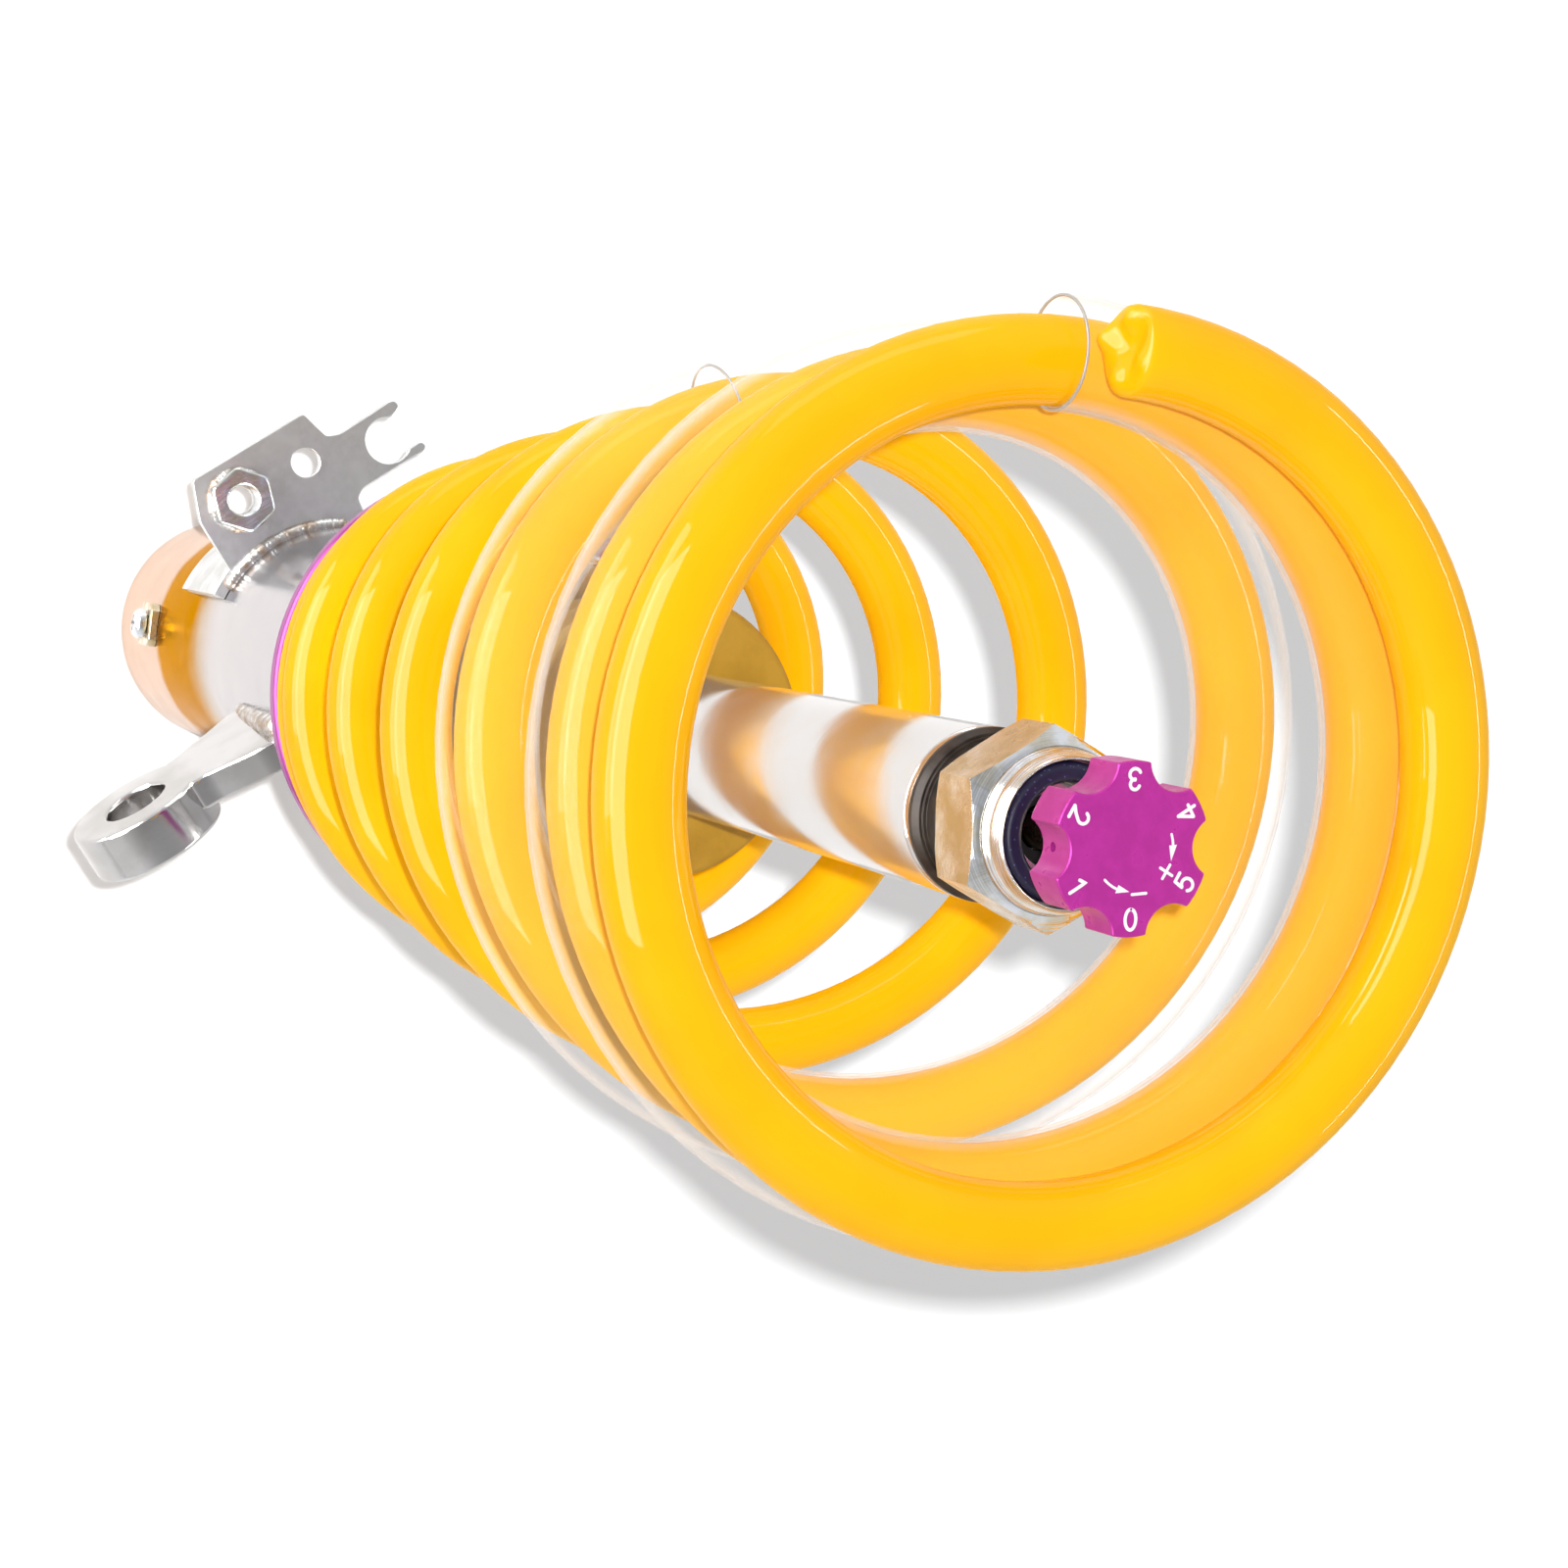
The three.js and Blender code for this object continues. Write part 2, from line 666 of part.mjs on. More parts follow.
const nutBore = solid(turned([
  [0, nutLow - 1],
  [studBore, nutLow - 1],
  [studBore, hexTop + 0.3],
  [insertOuter + gap, hexTop + 0.3],
  [insertOuter + gap, nutTop + 1],
  [0, nutTop + 1],
], 28));
const nutBody = geometryOf(hexBlank.intersect(hexChamfer).add(nutCollar).subtract(nutBore));
piece('rod_nut', nutBody, M.zinc);
piece('nylon_insert', turned([
  [studRadius - 0.7, hexTop + 0.6],
  [insertOuter, hexTop + 0.6],
  [insertOuter, nutTop - 0.9],
  [insertOuter - 0.7, nutTop - 0.3],
  [studRadius - 0.2, nutTop - 0.3],
  [studRadius - 0.7, nutTop - 0.8],
], 28), M.nylon);

// ---- Rebound adjuster: knob, shaft, seal and grub screw ----
const knobLow = nutTop + knobRise;
const knobTop = knobLow + knobHeight;
const shaftTop = knobTop - 2.4;
piece('adjuster_shaft', ring(0, shaftRadius, pistonLow - 8, shaftTop, 20), M.zinc);
piece('shaft_seal', ring(shaftRadius + gap, rodBore + 1.3, studTop - 5, studTop - 3, 20), M.rubber);
const lobeHalf = 12.5;
const valleyHalf = 30 - lobeHalf;
const valleyRadius = knobRadius * 0.786;
const edgeX = knobRadius * Math.cos(valleyHalf * rad);
const scoopAt = (knobRadius ** 2 - valleyRadius ** 2) / (2 * (edgeX - valleyRadius));
const scoopRadius = scoopAt - valleyRadius;
const zeroAngle = 238;
const knobOutline = [];
for (let k = 0; k < 6; k += 1) {
  const centre = zeroAngle + 60 * k;
  for (const da of [-lobeHalf, -lobeHalf / 3, lobeHalf / 3, lobeHalf]) {
    const a = (centre + da) * rad;
    knobOutline.push([knobRadius * Math.cos(a), knobRadius * Math.sin(a)]);
  }
  const v = (centre + 30) * rad;
  const edgeY = knobRadius * Math.sin(valleyHalf * rad);
  const swing = Math.atan2(edgeY, scoopAt - edgeX);
  for (const s of [-0.67, -0.33, 0, 0.33, 0.67]) {
    const x = scoopAt - scoopRadius * Math.cos(swing * s);
    const y = scoopRadius * Math.sin(swing * s);
    knobOutline.push([x * Math.cos(v) - y * Math.sin(v), x * Math.sin(v) + y * Math.cos(v)]);
  }
}
const bevel = 0.3;
const knobBlank = new THREE.ExtrudeGeometry(shapeOf(knobOutline), {
  depth: knobHeight - 2 * bevel,
  bevelEnabled: true,
  bevelSize: bevel,
  bevelThickness: bevel,
  bevelOffset: -bevel,
  bevelSegments: 1,
}).translate(0, 0, knobLow + bevel);
const shaftHole = solid(bar(shaftRadius + gap, knobHeight - 2.4 + gap + 1, at(0, 0, knobLow - 1), 20));
const grubAngle = zeroAngle - 90;
const grubZ = knobLow + 2.6;
const grubRadius = 0.55;
const grubHole = solid(bar(
  grubRadius + gap,
  12,
  radial(grubAngle, shaftRadius - 0.5, grubZ),
  12,
));
piece('adjuster_knob', cut(solid(knobBlank), [shaftHole, grubHole]), M.purple);
piece('knob_grub_screw', bar(
  grubRadius,
  valleyRadius - shaftRadius - 1.6,
  radial(grubAngle, shaftRadius + gap, grubZ),
  12,
), M.black);

export default group;
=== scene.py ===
# %% [markdown]
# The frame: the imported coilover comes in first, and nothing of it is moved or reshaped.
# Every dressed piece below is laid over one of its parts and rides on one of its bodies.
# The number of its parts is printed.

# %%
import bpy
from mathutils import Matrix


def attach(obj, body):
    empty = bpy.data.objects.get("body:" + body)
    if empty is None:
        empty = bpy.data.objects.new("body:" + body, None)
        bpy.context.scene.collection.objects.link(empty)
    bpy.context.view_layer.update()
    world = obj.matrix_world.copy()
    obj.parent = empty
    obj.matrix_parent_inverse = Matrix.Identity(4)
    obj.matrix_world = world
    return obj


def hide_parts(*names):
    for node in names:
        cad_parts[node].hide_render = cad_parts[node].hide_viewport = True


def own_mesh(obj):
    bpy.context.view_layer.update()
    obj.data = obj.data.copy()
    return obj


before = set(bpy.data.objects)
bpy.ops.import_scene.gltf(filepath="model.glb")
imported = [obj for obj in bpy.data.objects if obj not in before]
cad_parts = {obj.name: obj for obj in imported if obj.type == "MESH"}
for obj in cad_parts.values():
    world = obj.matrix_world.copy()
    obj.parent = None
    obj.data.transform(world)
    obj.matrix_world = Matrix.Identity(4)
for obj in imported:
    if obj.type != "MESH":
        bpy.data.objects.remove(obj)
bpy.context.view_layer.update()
import bmesh
import bpy
import math
from mathutils import Matrix, Vector

MM = 0.001
print("parts in the frame:", len(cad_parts))

# %% [markdown]
# Driving sizes, in millimetres, the same ones that the frame was cut to.
# +Z runs up the strut and the origin is the middle of the tube's bottom face.

# %%
TUBE_RADIUS = 27.0
TUBE_BORE = 24.5
JACKET_RADIUS = 30.3
SLEEVE_BORE = 27.3
JACKET_TOP = 202.0
SLEEVE_RADIUS = 29.3
SLEEVE_TOP = 288.0
TUBE_TOP = 306.0
GLAND_TOP = 311.0
RING_BORE = 29.6
HUB_RADIUS = 36.0
SEAT_Z = 256.8
COLLAR_RADIUS = 32.95
PERCH_RADIUS = 43.6
WIRE = 10.7
SPRING_FREE = 243.0
SPRING_START = 70.4
LEAN = (1.7, 4.3)
ROD_RADIUS = 11.0
ROD_TOP = 466.6
STUD_RADIUS = 6.85
STUD_HOLE = 7.15
STUD_TOP = 484.2
NUT_LOW = 474.8
NUT_FLATS = 21.9
HEX_TOP = 485.23
NUT_TOP = 488.9
KNOB_LOW = 496.4
KNOB_TOP = 503.2
KNOB_RADIUS = 10.05
ZERO_ANGLE = 238.0
print("spring:", SPRING_FREE, "mm free,", WIRE, "mm wire")

# %% [markdown]
# Small tools for shaping: a turned piece, a flat plate, a cut, and a placed copy.
# A lathe, a press and a drill make most of a real strut, so the same three verbs are kept here.
# Corners are rounded in the profile itself, because no real edge is perfectly sharp.


# %%
def softened(points, radius, closed=True, steps=3):
    """The same outline with its corners rounded by up to that radius."""
    out = []
    count = len(points)
    for i, (px, py) in enumerate(points):
        if not closed and i in (0, count - 1):
            out.append((px, py))
            continue
        here = Vector((px, py))
        back = Vector(points[i - 1]) - here
        ahead = Vector(points[(i + 1) % count]) - here
        reach = min(radius, 0.45 * back.length, 0.45 * ahead.length)
        if reach < 1e-4 or back.angle(ahead, 0.0) > math.radians(168):
            out.append((px, py))
            continue
        a = here + back.normalized() * reach
        b = here + ahead.normalized() * reach
        for k in range(steps + 1):
            t = k / steps
            p = a * (1 - t) ** 2 + here * 2 * t * (1 - t) + b * t**2
            out.append((p.x, p.y))
    return out


def mesh_piece(name, points, faces):
    """A mesh from points in millimetres, joined where points meet, faces turned outward."""
    mesh = bpy.data.meshes.new(name)
    mesh.from_pydata([[c * MM for c in p] for p in points], [], faces)
    piece = bpy.data.objects.new(name, mesh)
    bpy.context.scene.collection.objects.link(piece)
    return tidied(piece)


def tidied(piece):
    work = bmesh.new()
    work.from_mesh(piece.data)
    bmesh.ops.remove_doubles(work, verts=work.verts, dist=1e-7)
    bmesh.ops.dissolve_degenerate(work, dist=1e-7, edges=work.edges)
    bmesh.ops.recalc_face_normals(work, faces=work.faces)
    work.to_mesh(piece.data)
    work.free()
    return piece


def turned(name, profile, segments=96, round_by=0.4, steps=3):
    """A closed profile of (radius, height) turned about the strut axis."""
    outline = [(max(r, 0.0), z) for r, z in softened(profile, round_by, steps=steps)]
    points, faces = [], []
    count = len(outline)
    for k in range(segments):
        a = 2 * math.pi * k / segments
        points += [(r * math.cos(a), r * math.sin(a), z) for r, z in outline]
    for k in range(segments):
        here, ahead = k * count, ((k + 1) % segments) * count
        for i in range(count):
            j = (i + 1) % count
            faces.append((here + i, ahead + i, ahead + j, here + j))
    return mesh_piece(name, points, faces)


def plate(name, outline, low, high, holes=(), edge=0.25):
    """A flat outline with holes, as thick as low to high, with a small rounded edge."""
    curve = bpy.data.curves.new(name, "CURVE")
    curve.dimensions = "2D"
    curve.fill_mode = "BOTH"
    curve.bevel_depth = edge * MM
    curve.bevel_resolution = 2
    curve.offset = -edge * MM
    curve.extrude = ((high - low) / 2 - edge) * MM
    for loop in [outline, *holes]:
        line = curve.splines.new("POLY")
        line.points.add(len(loop) - 1)
        for point, (x, y) in zip(line.points, loop):
            point.co = (x * MM, y * MM, 0, 1)
        line.use_cyclic_u = True
    made = bpy.data.objects.new(name, curve)
    bpy.context.scene.collection.objects.link(made)
    piece = meshed(made)
    piece.data.transform(Matrix.Translation((0, 0, (low + high) / 2 * MM)))
    return tidied(piece)


def meshed(source):
    """What a curve, text or changed mesh looks like now, as a plain mesh piece."""
    bpy.context.view_layer.update()
    now = source.evaluated_get(bpy.context.evaluated_depsgraph_get())
    mesh = bpy.data.meshes.new_from_object(now)
    name = source.name
    bpy.data.objects.remove(source)
    mesh.name = name
    piece = bpy.data.objects.new(name, mesh)
    bpy.context.scene.collection.objects.link(piece)
    return piece


def changed(piece, kind, **settings):
    """The piece with one modifier worked into its mesh."""
    mod = piece.modifiers.new(kind.lower(), kind)
    for key, value in settings.items():
        setattr(mod, key, value)
    bpy.context.view_layer.update()
    now = piece.evaluated_get(bpy.context.evaluated_depsgraph_get())
    mesh = bpy.data.meshes.new_from_object(now)
    piece.modifiers.clear()
    piece.data = mesh
    return piece


def cut(piece, tools, how="DIFFERENCE"):
    for tool in tools:
        changed(piece, "BOOLEAN", object=tool, operation=how, solver="EXACT")
        bpy.data.objects.remove(tool)
    return tidied(piece)


def eased(piece, width=0.3, angle=35):
    """Rounds the sharp edges that a cut left."""
    return changed(
        piece,
        "BEVEL",
        width=width * MM,
        segments=2,
        limit_method="ANGLE",
        angle_limit=math.radians(angle),
        harden_normals=False,
    )


def moved(piece, matrix):
    piece.data.transform(matrix)
    return piece


def joined(name, pieces):
    """Several pieces of one material as one mesh."""
    work = bmesh.new()
    for piece in pieces:
        work.from_mesh(piece.data)
        bpy.data.objects.remove(piece)
    mesh = bpy.data.meshes.new(name)
    work.to_mesh(mesh)
    work.free()
    piece = bpy.data.objects.new(name, mesh)
    bpy.context.scene.collection.objects.link(piece)
    return piece


def circle(x, y, r, n=48):
    turn = 2 * math.pi / n
    return [(x + r * math.cos(turn * k), y + r * math.sin(turn * k)) for k in range(n)]


def radial(angle, r, z):
    """A place whose +Z points outward at that angle round the strut."""
    spin = Matrix.Rotation(math.radians(angle), 4, "Z")
    return spin @ Matrix.Translation((r * MM, 0, z * MM)) @ Matrix.Rotation(math.pi / 2, 4, "Y")


def drill(r, length, place, segments=24):
    tool = turned("drill", [(0, 0), (r, 0), (r, length), (0, length)], segments, 0)
    return moved(tool, place)


def dress(piece, material, body, slot, *nodes, crease=32, even=True):
    """Smooths the shading, gives the finish, and hangs the piece on its body."""
    piece.data.shade_smooth()
    piece.data.set_sharp_from_angle(angle=math.radians(crease))
    if even:
        changed(piece, "WEIGHTED_NORMAL", mode="FACE_AREA", weight=60, keep_sharp=True)
    piece.data.materials.clear()
    piece.data.materials.append(material)
    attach(piece, body)
    if nodes:
        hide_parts(*nodes)
    print(f"{piece.name}: {len(piece.data.polygons)} faces, rides on {body}")
    return piece


# %% [markdown]
# Shared finishes, as node groups: orange peel, turning marks, wear and pull marks.
# Lacquer dries with a fine ripple, a lathe leaves rings, and handling leaves faint cloudy wear.
# Each group takes plain numbers and gives back a value or a normal, so every finish can use it.


# %%
def group_of(name, inputs, outputs):
    tree = bpy.data.node_groups.new(name, "ShaderNodeTree")
    for label, kind, value in inputs:
        socket = tree.interface.new_socket(label, in_out="INPUT", socket_type=kind)
        socket.default_value = value
    for label, kind in outputs:
        tree.interface.new_socket(label, in_out="OUTPUT", socket_type=kind)
    return tree, tree.nodes.new("NodeGroupInput"), tree.nodes.new("NodeGroupOutput")


def put(tree, kind, settings=None, **inputs):
    """Adds a node; inputs are values or sockets, with spaces written as underscores."""
    node = tree.nodes.new(kind)
    for key, value in (settings or {}).items():
        setattr(node, key, value)
    for key, value in inputs.items():
        label = key.replace("_", " ")
        socket = node.inputs[int(label[2:])] if label.startswith("at") else node.inputs[label]
        if isinstance(value, bpy.types.NodeSocket):
            tree.links.new(value, socket)
        else:
            socket.default_value = value
    return node


def maths(tree, operation, a, b=0.0):
    return put(tree, "ShaderNodeMath", {"operation": operation}, at0=a, at1=b).outputs[0]


FLOAT, VECTOR = "NodeSocketFloat", "NodeSocketVector"

peel, asked, given = group_of(
    "orange_peel", [("Scale", FLOAT, 900.0), ("Depth", FLOAT, 0.1)], [("Normal", VECTOR)]
)
coords = put(peel, "ShaderNodeTexCoord").outputs["Object"]
ripple = put(
    peel, "ShaderNodeTexNoise", Vector=coords, Scale=asked.outputs["Scale"], Detail=1.0
)
lift = put(
    peel,
    "ShaderNodeBump",
    Strength=asked.outputs["Depth"],
    Distance=0.0002,
    Height=ripple.outputs[0],
)
peel.links.new(lift.outputs[0], given.inputs["Normal"])

rings, asked, given = group_of(
    "turning_marks",
    [("Pitch", FLOAT, 0.0003), ("Depth", FLOAT, 0.1)],
    [("Normal", VECTOR)],
)
coords = put(rings, "ShaderNodeTexCoord").outputs["Object"]
parts = put(rings, "ShaderNodeSeparateXYZ", Vector=coords)
flat = put(rings, "ShaderNodeCombineXYZ", X=parts.outputs[0], Y=parts.outputs[1])
reach = put(
    rings, "ShaderNodeVectorMath", {"operation": "LENGTH"}, at0=flat.outputs[0]
).outputs["Value"]
along = maths(rings, "ADD", reach, parts.outputs[2])
turns = maths(rings, "DIVIDE", along, asked.outputs["Pitch"])
line = put(rings, "ShaderNodeCombineXYZ", Z=turns)
marks = put(rings, "ShaderNodeTexNoise", Vector=line.outputs[0], Scale=1.0, Detail=3.0)
lift = put(
    rings,
    "ShaderNodeBump",
    Strength=asked.outputs["Depth"],
    Distance=0.0001,
    Height=marks.outputs[0],
)
rings.links.new(lift.outputs[0], given.inputs["Normal"])

wear, asked, given = group_of(
    "cloudy_wear",
    [("Scale", FLOAT, 60.0), ("Low", FLOAT, 0.1), ("High", FLOAT, 0.3)],
    [("Value", FLOAT), ("Cloud", FLOAT)],
)
coords = put(wear, "ShaderNodeTexCoord").outputs["Object"]
cloud = put(
    wear, "ShaderNodeTexNoise", Vector=coords, Scale=asked.outputs["Scale"], Detail=5.0
)
spread = put(
    wear,
    "ShaderNodeMapRange",
    Value=cloud.outputs[0],
    From_Min=0.3,
    From_Max=0.7,
    To_Min=asked.outputs["Low"],
    To_Max=asked.outputs["High"],
)
wear.links.new(spread.outputs[0], given.inputs["Value"])
wear.links.new(cloud.outputs[0], given.inputs["Cloud"])

pulled, asked, given = group_of(
    "pull_marks", [("Scale", FLOAT, 2500.0), ("Depth", FLOAT, 0.1)], [("Normal", VECTOR)]
)
coords = put(pulled, "ShaderNodeTexCoord").outputs["Object"]
long = put(
    pulled,
    "ShaderNodeVectorMath",
    {"operation": "MULTIPLY"},
    at0=coords,
    at1=(1.0, 1.0, 0.03),
)
grain = put(
    pulled,
    "ShaderNodeTexNoise",
    Vector=long.outputs[0],
    Scale=asked.outputs["Scale"],
    Detail=2.0,
)
lift = put(
    pulled,
    "ShaderNodeBump",
    Strength=asked.outputs["Depth"],
    Distance=0.0001,
    Height=grain.outputs[0],
)
pulled.links.new(lift.outputs[0], given.inputs["Normal"])
print("shared finishes:", [g.name for g in bpy.data.node_groups])


# %% [markdown]
# The finishes themselves: yellow powder coat, two depths of violet anodising, bare steel, steel
# with a painted amber reflection band, plated steels, chrome, blackened steel, nylon, foam, clear
# hose, rubber, bronze, turned alloy, white filling paint and weld metal.
# Each one starts from a plain surface and takes its small faults from the shared groups.
# The painted reflection band follows the height on the strut, so it is the same from every side.


# %%
def finish(name, colour, metallic=0.0, roughness=0.5, **more):
    """A new material and its surface node."""
    made = bpy.data.materials.new(name)
    made.use_nodes = True
    tree = made.node_tree
    surface = next(n for n in tree.nodes if n.type == "BSDF_PRINCIPLED")
    surface.inputs["Base Color"].default_value = (*colour, 1)
    surface.inputs["Metallic"].default_value = metallic
    surface.inputs["Roughness"].default_value = roughness
    for key, value in more.items():
        surface.inputs[key.replace("_", " ")].default_value = value
    return made, tree, surface


def shared(tree, group, **inputs):
    node = put(tree, "ShaderNodeGroup", {"node_tree": group})
    for key, value in inputs.items():
        node.inputs[key].default_value = value
    return node


def two_tone(tree, surface, amount, first, second, low=0.4, high=0.6):
    """Blends the surface between two colours as amount goes from low to high."""
    step = put(tree, "ShaderNodeMapRange", Value=amount, From_Min=low, From_Max=high)
    blend = put(tree, "ShaderNodeMix", {"data_type": "RGBA"}, at0=step.outputs[0])
    blend.inputs[6].default_value = (*first, 1)
    blend.inputs[7].default_value = (*second, 1)
    tree.links.new(blend.outputs[2], surface.inputs["Base Color"])


def worn(tree, surface, scale, low, high):
    """Cloudy wear in the roughness; the cloud comes back for a blend of colours."""
    cloud = shared(tree, wear, Scale=scale, Low=low, High=high)
    tree.links.new(cloud.outputs["Value"], surface.inputs["Roughness"])
    return cloud.outputs["Cloud"]


def marked(tree, surface, group, **inputs):
    """Small relief from one of the shared groups, laid on the surface."""
    relief = shared(tree, group, **inputs).outputs["Normal"]
    tree.links.new(relief, surface.inputs["Normal"])
    return relief


coat, tree, surface = finish(
    "yellow_coat", (0.95, 0.50, 0.003), 0.0, 0.3, Coat_Weight=0.3, Coat_Roughness=0.04
)
surface.inputs["Specular IOR Level"].default_value = 0.0
skin = marked(tree, surface, peel, Scale=420.0, Depth=0.09)
tree.links.new(skin, surface.inputs["Coat Normal"])
cloud = worn(tree, surface, 45.0, 0.24, 0.36)
two_tone(tree, surface, cloud, (0.98, 0.485, 0.004), (0.95, 0.45, 0.003))

violet, tree, surface = finish("violet_anodised", (0.36, 0.018, 0.33), 0.2, 0.34)
surface.inputs["Specular IOR Level"].default_value = 0.2
cloud = worn(tree, surface, 420.0, 0.26, 0.38)
two_tone(tree, surface, cloud, (0.50, 0.034, 0.33), (0.45, 0.028, 0.29))
marked(tree, surface, pulled, Scale=1800.0, Depth=0.3)

deep_violet, tree, surface = finish("deep_violet_anodised", (0.33, 0.02, 0.24), 0.3, 0.36)
worn(tree, surface, 120.0, 0.3, 0.4)
marked(tree, surface, rings, Pitch=0.0004, Depth=0.1)

# Painted highlight: a light pink on the knob's rim chamfer stands in for the line of light that the
# chamfer catches.
rim_painted_highlight, tree, surface = finish("bright_cut_edge", (0.95, 0.38, 0.80), 0.3, 0.3)
marked(tree, surface, pulled, Scale=1800.0, Depth=0.1)

steel, tree, surface = finish("polished_steel", (0.80, 0.78, 0.76), 1.0, 0.14)
cloud = worn(tree, surface, 70.0, 0.08, 0.2)
two_tone(tree, surface, cloud, (0.63, 0.62, 0.62), (0.51, 0.495, 0.48))
marked(tree, surface, rings, Pitch=0.0008, Depth=0.06)

painted_band_steel, tree, surface = finish("heat_tinted_steel", (0.80, 0.78, 0.76), 1.0, 0.14)
cloud = worn(tree, surface, 70.0, 0.1, 0.24)
up = put(
    tree, "ShaderNodeSeparateXYZ", Vector=put(tree, "ShaderNodeTexCoord").outputs["Object"]
).outputs[2]
stray = maths(tree, "MULTIPLY", cloud, 0.012)
level = put(
    tree,
    "ShaderNodeMapRange",
    Value=maths(tree, "ADD", up, stray),
    From_Min=0.0,
    From_Max=0.2,
)
# Painted reflection: peach, amber and grey bands by height, in both the base colour and the specular
# tint, stand in for reflections on the jacket.
REFLECTION_BAND_STEPS = (0.30, 0.33, 0.52, 0.59, 0.67)
FACE_ON = ((0.62, 0.50, 0.42), (0.64, 0.45, 0.24), (0.62, 0.43, 0.22), (0.60, 0.54, 0.47),
           (0.58, 0.57, 0.58))
EDGE_ON = ((0.86, 0.74, 0.66), (0.68, 0.38, 0.10), (0.66, 0.36, 0.09), (0.74, 0.64, 0.54),
           (0.84, 0.83, 0.84))
for socket, shades in (("Base Color", FACE_ON), ("Specular Tint", EDGE_ON)):
    ramp = put(tree, "ShaderNodeValToRGB", at0=level.outputs[0])
    stops = ramp.color_ramp.elements
    stops[0].position, stops[0].color = REFLECTION_BAND_STEPS[0], (*shades[0], 1)
    stops[1].position, stops[1].color = REFLECTION_BAND_STEPS[-1], (*shades[-1], 1)
    for spot, shade in zip(REFLECTION_BAND_STEPS[1:-1], shades[1:-1]):
        stops.new(spot).color = (*shade, 1)
    tree.links.new(ramp.outputs[0], surface.inputs[socket])
marked(tree, surface, rings, Pitch=0.0008, Depth=0.06)

zinc, tree, surface = finish("zinc_plated", (0.70, 0.66, 0.56), 1.0, 0.25)
cloud = worn(tree, surface, 190.0, 0.16, 0.36)
two_tone(tree, surface, cloud, (0.66, 0.60, 0.48), (0.50, 0.38, 0.19))
marked(tree, surface, peel, Scale=1500.0, Depth=0.12)

bright, tree, surface = finish("bright_zinc", (0.72, 0.75, 0.80), 1.0, 0.12)
cloud = worn(tree, surface, 240.0, 0.06, 0.22)
two_tone(tree, surface, cloud, (0.76, 0.79, 0.84), (0.62, 0.60, 0.52))
marked(tree, surface, rings, Pitch=0.00022, Depth=0.55)

satin, tree, surface = finish("satin_sheet", (0.62, 0.62, 0.60), 1.0, 0.3)
cloud = worn(tree, surface, 120.0, 0.3, 0.46)
two_tone(tree, surface, cloud, (0.66, 0.67, 0.67), (0.50, 0.50, 0.49))
marked(tree, surface, peel, Scale=700.0, Depth=0.04)

chrome, tree, surface = finish("hard_chrome", (0.66, 0.66, 0.66), 0.8, 0.09)
marked(tree, surface, rings, Pitch=0.0005, Depth=0.03)
worn(tree, surface, 150.0, 0.06, 0.12)

black, tree, surface = finish("blackened_steel", (0.018, 0.014, 0.012), 0.35, 0.4)
marked(tree, surface, rings, Pitch=0.0002, Depth=0.25)
cloud = worn(tree, surface, 300.0, 0.32, 0.5)
two_tone(tree, surface, cloud, (0.020, 0.015, 0.012), (0.045, 0.036, 0.030))

nylon, tree, surface = finish("indigo_nylon", (0.010, 0.007, 0.055), 0.0, 0.42)
speck = put(
    tree,
    "ShaderNodeTexVoronoi",
    Vector=put(tree, "ShaderNodeTexCoord").outputs["Object"],
    Scale=1400.0,
)
two_tone(tree, surface, speck.outputs["Distance"], (0.07, 0.07, 0.2), (0.006, 0.004, 0.03), 0.1, 0.2)
marked(tree, surface, peel, Scale=1100.0, Depth=0.3)

foam, tree, surface = finish("mustard_foam", (0.27, 0.15, 0.004), 0.0, 0.85)
cells = put(
    tree,
    "ShaderNodeTexVoronoi",
    Vector=put(tree, "ShaderNodeTexCoord").outputs["Object"],
    Scale=900.0,
)
pores = put(
    tree, "ShaderNodeBump", Strength=0.35, Distance=0.0003, Height=cells.outputs["Distance"]
)
tree.links.new(pores.outputs[0], surface.inputs["Normal"])
cloud = worn(tree, surface, 80.0, 0.75, 0.95)
two_tone(tree, surface, cloud, (0.40, 0.235, 0.014), (0.32, 0.18, 0.009))

clear, tree, surface = finish("clear_hose", (0.93, 0.94, 0.95), 0.0, 0.08, IOR=1.45)
clear.surface_render_method = "BLENDED"
facing = put(tree, "ShaderNodeLayerWeight", Blend=0.28)
haze = put(
    tree,
    "ShaderNodeMapRange",
    Value=facing.outputs["Facing"],
    From_Min=0.25,
    From_Max=1.0,
    To_Min=0.02,
    To_Max=0.62,
)
tree.links.new(haze.outputs[0], surface.inputs["Alpha"])
marked(tree, surface, peel, Scale=160.0, Depth=0.2)

lip, tree, surface = finish("hose_cut_edge", (0.42, 0.40, 0.36), 0.0, 0.2)
worn(tree, surface, 500.0, 0.12, 0.35)

rubber, tree, surface = finish("black_rubber", (0.015, 0.015, 0.015), 0.0, 0.6)
worn(tree, surface, 200.0, 0.5, 0.75)

bronze, tree, surface = finish("bearing_bronze", (0.60, 0.38, 0.16), 1.0, 0.35)
marked(tree, surface, rings, Pitch=0.0004, Depth=0.1)

alloy, tree, surface = finish("turned_alloy", (0.72, 0.73, 0.74), 1.0, 0.28)
marked(tree, surface, rings, Pitch=0.0005, Depth=0.14)
worn(tree, surface, 90.0, 0.2, 0.36)

paint, tree, surface = finish("white_filling", (0.86, 0.84, 0.86), 0.0, 0.45)
marked(tree, surface, peel, Scale=1800.0, Depth=0.2)

bead, tree, surface = finish("weld_bead", (0.55, 0.50, 0.45), 1.0, 0.3)
cloud = worn(tree, surface, 260.0, 0.2, 0.45)
two_tone(tree, surface, cloud, (0.66, 0.65, 0.64), (0.34, 0.26, 0.20))
print("finishes:", len(bpy.data.materials))

# %% [markdown]
# The hidden works keep the frame's own shapes and only take a finish.
# Valves, shims and seals are never seen from outside, but a cutaway would still read well.

